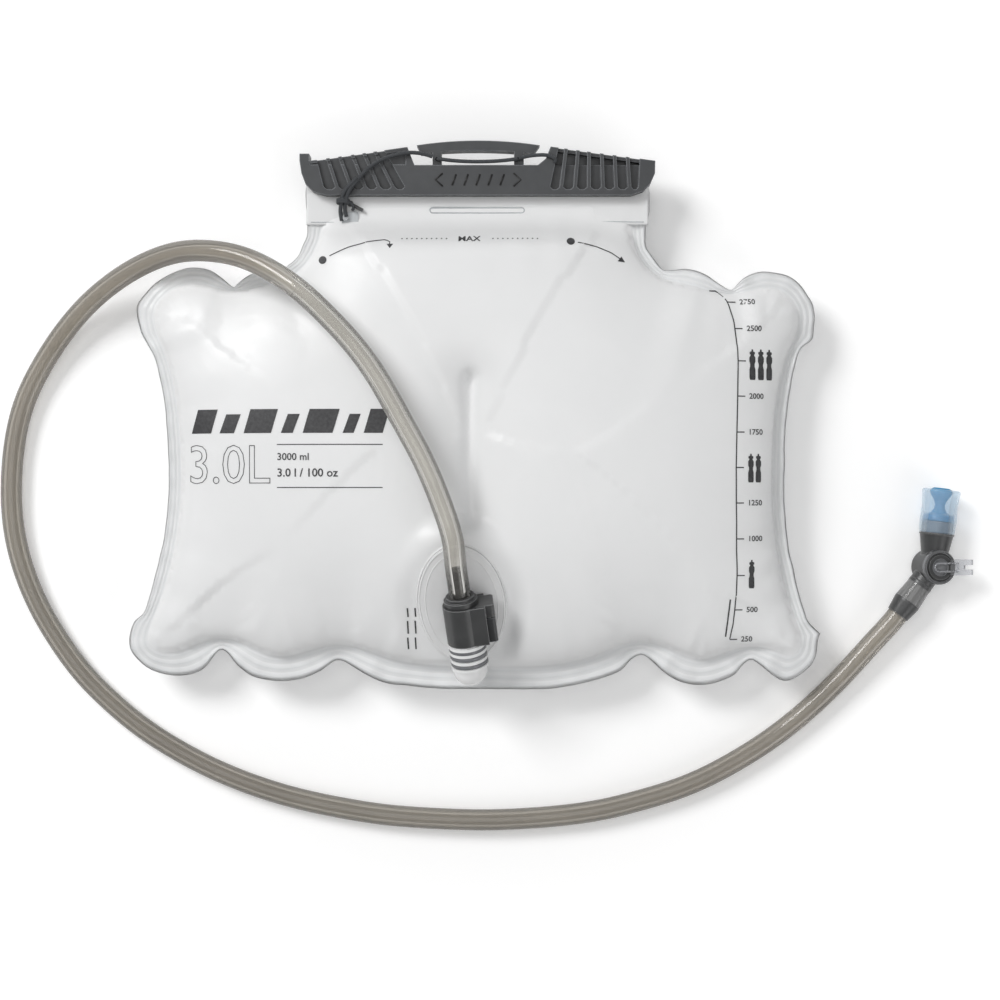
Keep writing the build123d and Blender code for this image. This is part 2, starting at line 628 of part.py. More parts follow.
def elbow_body():
    shell = VALVE * cylinder(8.2, -6.2, 5.4)
    shell += GLAND * cylinder(5.8, 18.75, GLAND_L)
    shell += MOUTH * lathe([(0, 5.0), (6.4, 5.0), (6.4, 6.7), (7.9, 15.3), (8.3, 15.4),
                            (8.3, 16.1), (0, 16.1)])
    shell += MOUTH * cylinder(5.4, 16.0, 21.5)
    shell -= VALVE * cylinder(ROTOR_R + ROTOR_GAP, -4.6, 20)
    shell -= VALVE * cylinder(8.25, 5.4, 14)
    shell -= GLAND * cylinder(4.26, 17, 21.6)
    shell -= GLAND * cylinder(WATER_R, 20, GLAND_L)
    shell -= MOUTH * cylinder(WATER_R, 0, 30)
    return shell


def shutoff_lever():
    """Rotor with a forked lever on its cap."""
    rotor = cylinder(ROTOR_R, -4.5, 5.55) + cylinder(8.1, 5.55, 7.4) + cylinder(6.0, 7.4, 8.0)
    rotor -= cylinder(3.9, 7.2, 9)
    fork = Polygon((5.0, -3.6), (8.0, -3.8), (16.6, -3.6), (16.6, -1.1), (12.6, -0.9), (12.6, 0.9),
                   (16.6, 1.1), (16.6, 3.6), (8.0, 3.8), (5.0, 3.6), align=None)
    rotor += Pos(0, 0, 6.8) * extrude(fork, 1.6)
    rotor += Pos(-0.5, 0, 7.1) * Box(4.6, 2.2, 2.6)     # bar across the cap recess
    lever = VALVE * rotor
    lever -= GLAND * cylinder(WATER_R, 18, GLAND_L)
    lever -= MOUTH * cylinder(WATER_R, 0, 8)
    for z in ROTOR_RINGS_Z:
        lever -= VALVE * ring(z, outer=6.0, inner=4.8, height=0.8)
    return lever


def rotor_orings():
    return [VALVE * Pos(0, 0, z) * Torus(5.17, 0.33) for z in ROTOR_RINGS_Z]


def bite_core():
    core = lathe([(0, 21.6), (7.3, 21.6), (7.5, 22.4), (5.4, 25.2), (2.6, 29.2), (3.0, 32.5),
                  (4.6, 36.4), (4.2, 36.9), (0, 36.9)])
    bore = cylinder(1.6, 20, 34)
    core -= bore
    core += cylinder(3.4, 21.55, 21.9) - bore
    return MOUTH * core


def bite_band():
    """Retaining band at the root of the sheath."""
    return MOUTH * lathe([(5.45, 16.15), (7.35, 16.15), (7.35, 21.5), (5.45, 21.5)])


def bite_sheath():
    return MOUTH * lathe([(7.4, 16.2), (8.2, 16.2), (8.35, 20.0), (8.1, 26.0), (8.6, 32.0),
                          (9.3, 36.3), (8.2, 36.9), (7.6, 36.0), (7.2, 32.0), (6.9, 27.5),
                          (7.55, 23.0), (7.45, 20.0)])


# ------------------------------------------------------------------ output
def save(shape, name):
    if isinstance(shape, list):
        shape = Compound(children=list(shape))
    shape.label = name
    export_step(shape, f"parts/{name}.step")


PIECES = [
    front_film, back_film, centre_baffle, header_strip, fold_rail, slide_channel,
    tether_cord, cord_loop, cord_anchor, cord_toggle,
    port_base, port_poppet, poppet_spring,
    plug_housing, release_button, button_spring, latch_clip, plug_stem, stem_orings, hose_collar,
    hose_gland, clear_sleeve, valve_stem, swivel_oring, swivel_ring,
    elbow_body, shutoff_lever, rotor_orings, bite_core, bite_band, bite_sheath,
]

os.makedirs("parts", exist_ok=True)
for piece in PIECES:
    save(piece(), piece.__name__)
for letter, link in zip("abcde", hose_links()):
    save(link, f"hose_{letter}")
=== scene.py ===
# A soft drinking reservoir lying flat on a white floor: a welded film bag with a slide
# closure on its neck, a drink port, a hose running round the bag and a bite valve.
# +X is right, +Y runs towards the neck and +Z is up, out of the front film.
# Geometry is written in mm and scaled to metres as it becomes a mesh.
import math
import bpy
import numpy as np
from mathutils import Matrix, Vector
from mathutils.bvhtree import BVHTree
from mathutils.geometry import delaunay_2d_cdt


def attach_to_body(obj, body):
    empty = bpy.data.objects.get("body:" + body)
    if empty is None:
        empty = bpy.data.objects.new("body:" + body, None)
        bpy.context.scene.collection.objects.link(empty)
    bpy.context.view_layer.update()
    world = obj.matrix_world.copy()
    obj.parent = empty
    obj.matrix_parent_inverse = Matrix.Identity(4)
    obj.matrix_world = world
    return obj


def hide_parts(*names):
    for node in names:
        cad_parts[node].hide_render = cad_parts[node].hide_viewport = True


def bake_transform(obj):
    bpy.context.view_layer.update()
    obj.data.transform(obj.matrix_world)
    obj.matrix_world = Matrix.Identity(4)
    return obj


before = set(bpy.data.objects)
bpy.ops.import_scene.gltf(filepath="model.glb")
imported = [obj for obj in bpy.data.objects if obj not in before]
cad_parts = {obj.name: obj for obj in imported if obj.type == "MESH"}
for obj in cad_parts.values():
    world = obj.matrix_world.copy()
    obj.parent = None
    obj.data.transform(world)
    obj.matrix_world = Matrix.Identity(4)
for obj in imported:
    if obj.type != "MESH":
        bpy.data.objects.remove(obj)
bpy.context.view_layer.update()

MM = 0.001
TURN = 2 * math.pi


def unit(v):
    return v / np.linalg.norm(v)


# Edge of the film blank (x, y), from the left of the neck, down the left side,
# along the bottom and up the right side.
OUTLINE = [
    (-80.5, 137.1), (-80.5, 129.1), (-79.8, 123.9), (-79.8, 119.3), (-80.0, 114.6), (-81.9, 110.3),
    (-84.2, 105.2), (-88.0, 101.4), (-92.2, 98.6), (-96.9, 99.1), (-102.1, 98.1), (-107.7, 95.8),
    (-113.4, 91.5), (-114.8, 90.6), (-119.9, 94.8), (-125.6, 98.6), (-133.3, 100.0), (-139.2, 99.1),
    (-148.6, 94.8), (-155.8, 88.4), (-160.3, 80.7), (-158.2, 70.0), (-154.9, 63.8), (-151.5, 57.7),
    (-148.7, 46.9), (-146.2, 31.4), (-144.9, 0.0), (-146.7, -23.5), (-149.5, -37.6), (-153.3, -52.8),
    (-156.3, -62.0), (-161.2, -66.7), (-163.6, -75.1), (-161.2, -82.6), (-152.3, -89.7),
    (-139.6, -92.0), (-128.8, -88.8), (-120.4, -79.8), (-111.9, -87.8), (-104.7, -92.5),
    (-94.1, -94.4), (-83.3, -93.4), (-73.9, -89.7), (-65.0, -84.5), (-54.2, -90.2), (-43.9, -95.1),
    (-31.7, -96.7), (-17.1, -98.0), (6.4, -98.1), (30.3, -98.1), (42.3, -96.7), (54.3, -94.1),
    (66.3, -89.9), (72.1, -84.5), (77.0, -82.1), (81.8, -85.0), (87.8, -90.5), (95.0, -94.7),
    (103.4, -96.4), (111.8, -95.3), (120.2, -91.6), (125.0, -86.4), (128.7, -84.4), (133.3, -87.3),
    (138.1, -91.3), (144.1, -94.4), (150.0, -92.5), (156.2, -87.6), (159.2, -82.2), (160.1, -75.1),
    (161.1, -72.3), (159.8, -70.9), (155.2, -66.2), (152.9, -59.6), (150.3, -50.7), (148.5, -41.8),
    (146.3, -32.9), (144.7, -18.8), (143.9, -4.7), (144.2, 9.4), (144.2, 19.2), (145.4, 32.4),
    (147.5, 46.0), (149.6, 55.4), (151.9, 61.5), (155.7, 64.5), (157.8, 66.7), (158.3, 71.6),
    (158.7, 77.0), (157.8, 82.6), (155.2, 86.9), (151.5, 92.2), (145.4, 96.2), (136.9, 97.8),
    (131.0, 97.5), (125.1, 94.8), (122.3, 92.2), (119.1, 89.2), (113.9, 91.7), (108.2, 95.7),
    (102.3, 98.2), (97.3, 99.1), (92.6, 98.6), (87.9, 98.6), (84.8, 101.5), (81.7, 105.8),
    (79.3, 109.7), (79.0, 113.6), (79.2, 119.4), (80.1, 123.3), (80.9, 126.4), (81.0, 133.3),
]
# Top edge of the neck (x, y), right to left.
NECK_TOP = [(80.6, 136.0), (78.0, 138.4), (60.0, 138.6), (20.0, 138.6), (-20.0, 138.6),
            (-60.0, 138.6), (-78.0, 138.4)]
# Centre line of the hose (x, y, z), from the plug to the bite valve fitting.
HOSE = [
    (-10.7, -27.7, 61), (-14.3, -15.2, 62.7), (-18.7, -3.5, 64), (-25.0, 10.6, 65),
    (-32.3, 24.1, 65), (-39.0, 36.3, 64.9), (-46.4, 48.6, 64), (-56.0, 61.4, 62.3),
    (-66.8, 73.1, 60), (-79.7, 85.2, 56.5), (-94.0, 95.2, 52), (-109.2, 102.2, 46.3),
    (-125.2, 105.4, 40), (-139.2, 105.4, 33), (-153.0, 102.1, 26), (-168.3, 95.1, 18.6),
    (-183.1, 84.7, 12.5), (-196.3, 71.0, 8.5), (-207.7, 54.6, 6), (-216.0, 37.8, 5.2),
    (-220.6, 20.0, 5), (-222.4, 3.0, 5), (-222.3, -14.2, 5), (-219.9, -30.9, 5), (-215.1, -47.0, 5),
    (-208.0, -62.8, 5), (-198.9, -77.9, 5), (-188.2, -92.2, 5), (-175.5, -105.1, 5),
    (-161.0, -117.2, 5), (-145.1, -127.6, 5), (-126.8, -137.3, 5), (-107.8, -145.1, 5),
    (-86.7, -151.6, 5), (-65.4, -156.2, 5), (-44.3, -159.5, 5), (-22.7, -161.2, 5),
    (-1.3, -162.0, 5), (20.0, -161.5, 5), (39.2, -160.0, 5), (57.8, -157.4, 5), (78.8, -152.3, 5),
    (100.0, -145.4, 5), (118.9, -136.3, 5), (137.0, -125.2, 5), (152.3, -113.6, 5.3),
    (166.3, -100.8, 6.0), (178.2, -88.2, 7.2), (188.9, -76.0, 8.6),
]
HOSE_RADIUS, BORE_RADIUS = 5.0, 3.175
PORT = np.array((-3.0, -86.9, 38.0))
PORT_AXIS = unit(np.array((-0.125, 0.918, 0.375)))
PORT_UP = unit(np.array((0, 0, 1.0)) - PORT_AXIS[2] * PORT_AXIS)
PORT_SIDE = np.cross(PORT_AXIS, PORT_UP)
FLANGE = PORT + PORT_AXIS * 28.0 - PORT_UP * 11.0
GLAND = np.array((199.48, -63.77, 9.5))
VALVE = np.array((216.14, -41.21, 10.0))
GLAND_AXIS = unit(VALVE - GLAND)
MOUTH_AXIS = unit(np.array((0.113, 0.9936, 0.0)))
SEAM = 21.0     # height of the perimeter weld


# ------------------------------------------------------------ shape helpers
def resample(points, count, closed=False):
    """Evenly spaced points along a line."""
    line = np.vstack([points, points[:1]]) if closed else points
    run = np.concatenate([[0], np.cumsum(np.linalg.norm(np.diff(line, axis=0), axis=1))])
    at = np.linspace(0, run[-1], count, endpoint=not closed)
    return np.stack([np.interp(at, run, line[:, k]) for k in range(line.shape[1])], 1)


def closed_spline(points, count):
    """Catmull-Rom loop through the points, evenly resampled."""
    p = np.array(points, float)
    out = []
    for i in range(len(p)):
        p0, p1, p2, p3 = p[i - 1], p[i], p[(i + 1) % len(p)], p[(i + 2) % len(p)]
        for k in range(8):
            t = k / 8
            out.append(0.5 * ((2 * p1) + (p2 - p0) * t + (2 * p0 - 5 * p1 + 4 * p2 - p3) * t * t
                              + (3 * p1 - p0 - 3 * p2 + p3) * t ** 3))
    return resample(np.array(out), count, True)


def cubic(knots, points, at):
    """Natural cubic spline through points at the knots, read at the given places."""
    n = len(knots)
    h = np.diff(knots)
    matrix = np.eye(n)
    rhs = np.zeros((n, points.shape[1]))
    for i in range(1, n - 1):
        matrix[i, i - 1:i + 2] = h[i - 1], 2 * (h[i - 1] + h[i]), h[i]
        rhs[i] = 6 * ((points[i + 1] - points[i]) / h[i] - (points[i] - points[i - 1]) / h[i - 1])
    bend = np.linalg.solve(matrix, rhs)
    k = np.clip(np.searchsorted(knots, at) - 1, 0, n - 2)
    a = (knots[k + 1] - at)[:, None]
    b = (at - knots[k])[:, None]
    span = h[k][:, None]
    return ((bend[k] * a ** 3 + bend[k + 1] * b ** 3) / (6 * span)
            + (points[k] / span - bend[k] * span / 6) * a
            + (points[k + 1] / span - bend[k + 1] * span / 6) * b)


def spline(points, step):
    points = np.array(points, float)
    run = np.concatenate([[0], np.cumsum(np.linalg.norm(np.diff(points, axis=0), axis=1))])
    return cubic(run, points, np.arange(0, run[-1], step))


def blur_loop(p, times):
    for _ in range(times):
        p = 0.25 * np.roll(p, 1, 0) + 0.5 * p + 0.25 * np.roll(p, -1, 0)
    return p


def smoothstep(t):
    t = np.clip(t, 0, 1)
    return t * t * (3 - 2 * t)


def mesh_object(name, verts, faces, mat, smooth=True):
    me = bpy.data.meshes.new(name)
    me.from_pydata([tuple(v) for v in np.asarray(verts, float) * MM], [],
                   [tuple(int(i) for i in f) for f in faces])
    me.validate()
    me.update()
    if smooth:
        me.polygons.foreach_set("use_smooth", [True] * len(me.polygons))
    ob = bpy.data.objects.new(name, me)
    bpy.context.scene.collection.objects.link(ob)
    me.materials.append(mat)
    return ob


def float_attribute(ob, name, values):
    attribute = ob.data.attributes.new(name, "FLOAT", "POINT")
    attribute.data.foreach_set("value", values.astype(np.float32))


def cross_frames(line):
    """Two directions across the line at each point, turning as little as they can."""
    along = np.gradient(line, axis=0)
    along /= np.linalg.norm(along, axis=1)[:, None]
    a = np.cross(along[0], (0, 0, 1.0))
    if np.linalg.norm(a) < 1e-3:
        a = np.cross(along[0], (1.0, 0, 0))
    a = unit(a)
    out = []
    for t in along:
        a = unit(a - t * np.dot(a, t))
        out.append((a, np.cross(t, a)))
    return out


def tube(name, line, radius, sides, mat, caps=False, bore=None, ends=(True, True)):
    """Tube along a line. A bore adds an inner wall, with a ring at each end asked for."""
    line = np.asarray(line, float)
    frames = cross_frames(line)
    angles = np.linspace(0, TURN, sides, endpoint=False)
    verts, faces = [], []
    for inner, wall in enumerate([radius] if bore is None else [radius, bore]):
        base = len(verts)
        for point, (a, b) in zip(line, frames):
            verts += [point + wall * (math.cos(w) * a + math.sin(w) * b) for w in angles]
        for i in range(len(line) - 1):
            row = base + i * sides
            for k in range(sides):
                j = (k + 1) % sides
                quad = (row + k, row + j, row + sides + j, row + sides + k)
                faces.append(quad[::-1] if inner else quad)
    last = (len(line) - 1) * sides
    if bore is not None:
        base = len(line) * sides
        for k in range(sides):
            j = (k + 1) % sides
            if ends[0]:
                faces.append((k, base + k, base + j, j))
            if ends[1]:
                faces.append((last + j, base + last + j, base + last + k, last + k))
    elif caps:
        faces.append(tuple(range(sides))[::-1])
        faces.append(tuple(range(last, last + sides)))
    return mesh_object(name, verts, faces, mat)


def lathe(name, profile, origin, axis, across, sides, mat):
    """Turned shape. Profile rows are radius, distance along the axis and, if oval, the
    share of the radius kept square to `across`."""
    dense = []
    for a, b in zip(profile, profile[1:]):
        cuts = max(1, int(math.dist(a[:2], b[:2]) / 0.35))
        dense += [tuple(x + (y - x) * k / cuts for x, y in zip(a, b)) for k in range(cuts)]
    dense.append(profile[-1])
    square = np.cross(axis, across)
    n = len(dense)
    verts, faces = [], []
    for k in range(sides):
        w = TURN * k / sides
        for r, h, *oval in dense:
            kept = oval[0] if oval else 1.0
            verts.append(origin + axis * h
                         + r * (math.cos(w) * across + math.sin(w) * square * kept))
    for k in range(sides):
        j = (k + 1) % sides
        for i in range(n - 1):
            faces.append((k * n + i, j * n + i, j * n + i + 1, k * n + i + 1))
    return mesh_object(name, verts, faces, mat)


def join(name, obs):
    bpy.ops.object.select_all(action="DESELECT")
    for ob in obs:
        ob.select_set(True)
    bpy.context.view_layer.objects.active = obs[0]
    bpy.ops.object.join()
    obs[0].name = name
    return obs[0]


def attach(ob, part=None, between=None, replaces=()):
    """Parent the piece to the body of the part it moves with, bake the transform of a piece
    set between two parts, and hide the CAD pieces it stands for.
    """
    if part:
        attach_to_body(ob, part)
    if between:
        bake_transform(ob)
    if replaces:
        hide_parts(*replaces)


# --------------------------------------------------------------- materials
class Shader:
    """A material under construction. Lengths in materials are in metres."""

    def __init__(self, name):
        self.material = bpy.data.materials.new(name)
        self.material.use_nodes = True
        self.tree = self.material.node_tree
        self.tree.nodes.clear()
        self.output = self.tree.nodes.new("ShaderNodeOutputMaterial")

    def node(self, kind, *ordered, **named):
        """Ordered values fill inputs by place, capitalised names fill inputs by name
        and other names set properties. A value may be a number or a socket."""
        node = self.tree.nodes.new("ShaderNode" + kind)
        fed = []
        for key, value in named.items():
            if key[0].isupper():
                fed.append((node.inputs[key.replace("_", " ")], value))
            else:
                setattr(node, key, value)
        for socket, value in list(zip(node.inputs, ordered)) + fed:
            if isinstance(value, bpy.types.NodeSocket):
                self.link(value, socket)
            elif value is not None:
                colour = socket.type == "RGBA" and len(value) == 3
                socket.default_value = (*value, 1) if colour else value
        return node

    def link(self, a, b):
        self.tree.links.new(a, b)

    def coords(self):
        return self.node("TexCoord").outputs["Object"]

    def noise(self, scale, detail=4.0):
        return self.node("TexNoise", Scale=scale, Detail=detail, Roughness=0.55,
                         Vector=self.coords()).outputs["Fac"]

    def attribute(self, name):
        return self.node("Attribute", attribute_name=name).outputs["Fac"]

    def ramp(self, fac, stops, values):
        """Blend between two values, each a colour or a grey, over a range of fac."""
        node = self.node("ValToRGB", fac)
        for element, stop, value in zip(node.color_ramp.elements, stops, values):
            element.position = stop
            element.color = (*value, 1) if isinstance(value, tuple) else (value,) * 3 + (1,)
        return node.outputs["Color"]

    def math(self, operation, a, b, clamp=False):
        return self.node("Math", a, b, operation=operation, use_clamp=clamp).outputs[0]

    def mix_colour(self, fac, a, b, **props):
        return self.node("MixRGB", fac, a, b, **props).outputs[0]

    def mix(self, fac, a, b):
        return self.node("MixShader", fac, a, b).outputs[0]

    def bump(self, height, strength, distance, normal=None):
        return self.node("Bump", Strength=strength, Distance=distance, Height=height,
                         Normal=normal).outputs["Normal"]

    def milky(self, colour, normal, translucent):
        parts = [self.node(kind, Color=colour, Normal=normal).outputs[0]
                 for kind in ("BsdfDiffuse", "BsdfTranslucent")]
        return self.mix(translucent, *parts)

    def glossy_skin(self, base, normal, roughness, ior, amount):
        """Finish with a glossy layer that grows towards grazing angles."""
        gloss = self.node("BsdfGlossy", Roughness=roughness, Normal=normal)
        grazing = self.node("Fresnel", IOR=ior, Normal=normal)
        share = self.math("MULTIPLY", grazing.outputs[0], amount)
        return self.finish(self.mix(share, base, gloss.outputs[0]))

    def finish(self, shader):
        self.link(shader, self.output.inputs["Surface"])
        return self.material


def plastic(name, dark, light, rough=0.5, bump=0.18, wear_and_highlight=0.0, specular=0.4, edge=0.00045,
            recess_shade=1.0):
    """Moulded plastic with fine grain. `edge` is the softened edge radius, `wear_and_highlight`
    lightens edges as rubbed wear and painted highlight together, and `recess_shade` is the
    painted shade left in recesses."""
    m = Shader(name)
    colour = m.ramp(m.noise(scale=55, detail=5), (0.3, 0.75), (dark, light))
    soft_edge = m.node("Bevel", Radius=edge).outputs["Normal"]
    normal = m.bump(m.noise(scale=2600, detail=2), bump, 0.00006, soft_edge)
    # painted highlight along edges, together with rubbed wear: colour lightened where the softened
    # edge normal turns away from the face
    if wear_and_highlight > 0:
        flat = m.node("NewGeometry").outputs["Normal"]
        facing = m.node("VectorMath", soft_edge, flat, operation="DOT_PRODUCT").outputs["Value"]
        worn = m.math("MULTIPLY", m.math("SUBTRACT", 1.0, facing), 6.0, clamp=True)
        patches = m.math("ADD", 0.35, m.noise(scale=420, detail=3))
        worn = m.math("MULTIPLY", worn, patches)
        worn = m.math("MULTIPLY", worn, wear_and_highlight, clamp=True)
        rubbed_and_highlight = tuple(min(1, c * 4.5 + 0.08) for c in light)
        colour = m.mix_colour(worn, colour, rubbed_and_highlight)
    if recess_shade < 1.0:
        # painted shade: colour darkened in recesses by ambient occlusion
        hollow = m.node("AmbientOcclusion", samples=6, Distance=0.0042).outputs["AO"]
        shade = m.ramp(hollow, (0.25, 0.95), (recess_shade, 1.0))
        colour = m.mix_colour(1.0, colour, shade, blend_type="MULTIPLY")
    surface = m.node("BsdfPrincipled", Roughness=rough, Specular_IOR_Level=specular,
                     Base_Color=colour, Normal=normal)
    uneven = m.ramp(m.noise(scale=240, detail=3), (0.3, 0.8), (rough - 0.07, rough + 0.08))
    m.link(uneven, surface.inputs["Roughness"])
    return m.finish(surface.outputs[0])


def clear(name, tint, see, rough, grain=900.0, cloud=0.25, translucent=0.5, gloss=0.9):
    """Clear or frosted plastic. `see` is the see-through share, varied by `cloud`."""
    m = Shader(name)
    normal = m.bump(m.noise(scale=grain, detail=3), 0.12, 0.0001)
    milky = m.milky(tint, normal, translucent)
    through = m.node("BsdfTransparent", Color=tuple(0.5 + 0.5 * c for c in tint))
    fog = m.ramp(m.noise(scale=60), (0.3, 0.75), (see - cloud * 0.5, see + cloud * 0.5))
    return m.glossy_skin(m.mix(fog, milky, through.outputs[0]), normal, rough,
                         ior=1.5, amount=gloss)


def steel():
    m = Shader("spring_steel")
    colour = m.ramp(m.noise(scale=900), (0.3, 0.7), ((0.45, 0.45, 0.46), (0.66, 0.66, 0.67)))
    rough = m.ramp(m.noise(scale=300), (0.3, 0.7), (0.22, 0.36))
    return m.finish(m.node("BsdfPrincipled", Metallic=1.0, Base_Color=colour,
                           Roughness=rough).outputs[0])


def film_material(name, see, lines=True):
    """Frosted film: milky, with a satin skin. `lines` adds the pressed lines of the seal."""
    m = Shader(name)
    fine = m.noise(scale=1400, detail=3)
    soft = m.noise(scale=38)
    normal = m.bump(soft, strength=0.10, distance=0.0012)
    normal = m.bump(fine, 0.12, 0.00004, normal)
    colour = m.ramp(soft, (0.3, 0.75), ((0.95, 0.955, 0.957), (0.975, 0.978, 0.98)))
    rough = m.ramp(m.noise(scale=90), (0.3, 0.7), (0.30, 0.40))
    if lines:
        seal = m.attribute("seal")      # 0 outer edge, 1 inner weld line, above 1 inside
        ridge = m.attribute("ridge")
        normal = m.bump(ridge, 0.55, 0.0006, normal)
        in_seal = m.math("LESS_THAN", seal, 1.02)
        tone = m.math("ADD", 0.10, m.math("MULTIPLY", ridge, 0.45))
        colour = m.mix_colour(m.math("MULTIPLY", in_seal, tone), colour, (0.70, 0.72, 0.73))
    milky = m.milky(colour, normal, translucent=0.14)
    through = m.node("BsdfTransparent", Color=(0.93, 0.94, 0.95))
    return m.glossy_skin(m.mix(see, milky, through.outputs[0]), normal, rough,
                         ior=1.48, amount=0.85)


def hose_material(name, tint, see):
    """Smoky tube that turns more see-through and paler where the `clear_and_lit` attribute
    rises; over the bag the paler colour is painted light.
    """
    m = Shader(name)
    colour = m.ramp(m.noise(scale=30, detail=3), (0.3, 0.7),
                    (tuple(c * 0.93 for c in tint), tuple(min(1, c * 1.05) for c in tint)))
    normal = m.bump(m.noise(scale=500, detail=2), 0.05, 0.00008)
    seen_tint = tuple(min(1, 0.25 + c) for c in tint)
    through = m.node("BsdfTransparent", Color=seen_tint)
    near = m.attribute("clear_and_lit")
    # painted light: where the attribute rises, the see-through and milky colours turn paler, which
    # over the bag paints the hose lighter
    pale = m.mix_colour(m.math("MULTIPLY", near, 1.9, clamp=True), seen_tint,
                        (0.975, 0.968, 0.95))
    m.link(pale, through.inputs["Color"])
    body = m.mix_colour(m.math("MULTIPLY", near, 1.7, clamp=True), colour, (0.86, 0.845, 0.80))
    milky = m.milky(body, normal, translucent=0.55)
    # the see-through share rises from `see` to 0.93
    share = m.math("ADD", see, m.math("MULTIPLY", near, 0.93 - see), clamp=True)
    return m.glossy_skin(m.mix(share, milky, through.outputs[0]), normal, 0.09,
                         ior=1.45, amount=0.9)


def cord_material():
    m = Shader("cord_braid")
    braid = m.node("TexWave", Scale=950.0, Vector=m.coords(),
                   bands_direction="DIAGONAL").outputs["Fac"]
    normal = m.bump(braid, strength=0.8, distance=0.0002)
    colour = m.ramp(braid, (0.2, 0.8), ((0.03, 0.033, 0.037), (0.085, 0.09, 0.097)))
    return m.finish(m.node("BsdfPrincipled", Roughness=0.75, Base_Color=colour,
                           Normal=normal).outputs[0])


def print_material():
    m = Shader("print_ink")
    colour = m.ramp(m.noise(scale=700, detail=3), (0.3, 0.7),
                    ((0.028, 0.028, 0.030), (0.055, 0.055, 0.058)))
    return m.finish(m.node("BsdfPrincipled", Roughness=0.55, Base_Color=colour).outputs[0])


DARK = plastic("slide_dark", (0.034, 0.036, 0.039), (0.048, 0.051, 0.055), rough=0.42,
               wear_and_highlight=1.6, specular=0.5, edge=0.0007, recess_shade=0.18)
HOUSE = plastic("connector_dark", (0.038, 0.039, 0.040), (0.056, 0.057, 0.058), rough=0.36,
                wear_and_highlight=1.0, specular=0.55, edge=0.0007, recess_shade=0.3)
BUTTON = plastic("button_dark", (0.030, 0.032, 0.034), (0.044, 0.046, 0.049), rough=0.36,
                 wear_and_highlight=0.9, specular=0.5, edge=0.0006, recess_shade=0.5)
GREY = plastic("band_grey", (0.12, 0.15, 0.19), (0.2, 0.235, 0.28), rough=0.4, wear_and_highlight=0.3,
               edge=0.0004)
CLEAR = clear("clear_moulded", (0.86, 0.89, 0.91), see=0.45, rough=0.16)
FROST = clear("port_frost", (0.985, 0.988, 0.99), see=0.12, rough=0.14, cloud=0.08,
              translucent=0.12)
LEVER = clear("lever_clear", (0.86, 0.87, 0.90), see=0.70, rough=0.08)
SMOKE = clear("sleeve_smoke", (0.52, 0.52, 0.52), see=0.50, rough=0.10)
SILICONE = clear("sheath_silicone", (0.86, 0.94, 1.0), see=0.85, rough=0.28, grain=1500.0,
                 translucent=0.4, cloud=0.1, gloss=0.3)
BAND = clear("port_band_smoke", (0.33, 0.34, 0.36), see=0.50, rough=0.06, cloud=0.1)
RUBBER = plastic("o_ring", (0.012, 0.012, 0.012), (0.03, 0.03, 0.03))
BLUE = plastic("core_blue", (0.001, 0.17, 0.36), (0.004, 0.25, 0.47), rough=0.35, bump=0.1)
STEEL = steel()
FILM = film_material("film_frosted", see=0.10)
FLAP = film_material("film_header", see=0.18, lines=False)
HOSE_SMOKE = hose_material("hose_smoke", (0.60, 0.572, 0.525), see=0.54)
# a spare, worn by no piece
hose_material("hose_bore", (0.62, 0.60, 0.56), see=0.35)
CORD = cord_material()
INK = print_material()

# ------------------------------------------------------- plan of the film bag
EDGE_COUNT = 640
edge = closed_spline(OUTLINE + NECK_TOP, EDGE_COUNT)


def seal_width(x, y):
    width = 6.0
    if y < -70 and abs(x) < 150:
        width += 4.5 * min(1, (-70 - y) / 15)
    if y > 100:
        width = 7.8
    return width


smooth_edge = blur_loop(edge, 60)
tangent = np.roll(smooth_edge, -2, 0) - np.roll(smooth_edge, 2, 0)
tangent /= np.linalg.norm(tangent, axis=1)[:, None]
inward = np.stack([-tangent[:, 1], tangent[:, 0]], 1)
width = blur_loop(np.array([seal_width(x, y) for x, y in smooth_edge]), 60)
weld = blur_loop(smooth_edge + inward * width[:, None], 8)     # inner line of the seal
weld[:, 1] = np.minimum(weld[:, 1], 131.0)
perimeter = np.linalg.norm(np.diff(np.vstack([edge, edge[:1]]), axis=0), axis=1).sum()
arc = np.arange(EDGE_COUNT) / EDGE_COUNT * perimeter

# ---------------------------------------------------------------- inflation
# A soft membrane over the water space, held at the weld line and capped at the
# centre baffle. It is relaxed on grids from coarse to fine.
CELL = 1.5
grid_x = np.arange(-168, 168.1, CELL)
grid_y = np.arange(-102, 136.1, CELL)
GX, GY = np.meshgrid(grid_x, grid_y, indexing="ij")
BAFFLE_X, BAFFLE_Y0, BAFFLE_Y1 = -3.2, -19.7, 46.8
BAFFLE_CAP = 1700.0
RELAX_STEPS = {8: 900, 4: 700, 2: 600, 1: 500}     # cells per coarse cell: passes


def inside_poly(px, py, poly):
    inside = np.zeros(px.shape, bool)
    for (x0, y0), (x1, y1) in zip(poly, np.roll(poly, -1, 0)):
        spans = (y0 > py) != (y1 > py)
        if spans.any():
            inside ^= spans & (px < (x1 - x0) * (py - y0) / (y1 - y0) + x0)
    return inside


def relax(u, water, held, cell, passes):
    for _ in range(passes):
        ring = np.roll(u, 1, 0) + np.roll(u, -1, 0) + np.roll(u, 1, 1) + np.roll(u, -1, 1)
        u = np.where(water, 0.25 * ring + 0.25 * cell * cell, 0.0)
        if held is not None:
            u = np.where(held, np.minimum(u, BAFFLE_CAP), u)
    return u


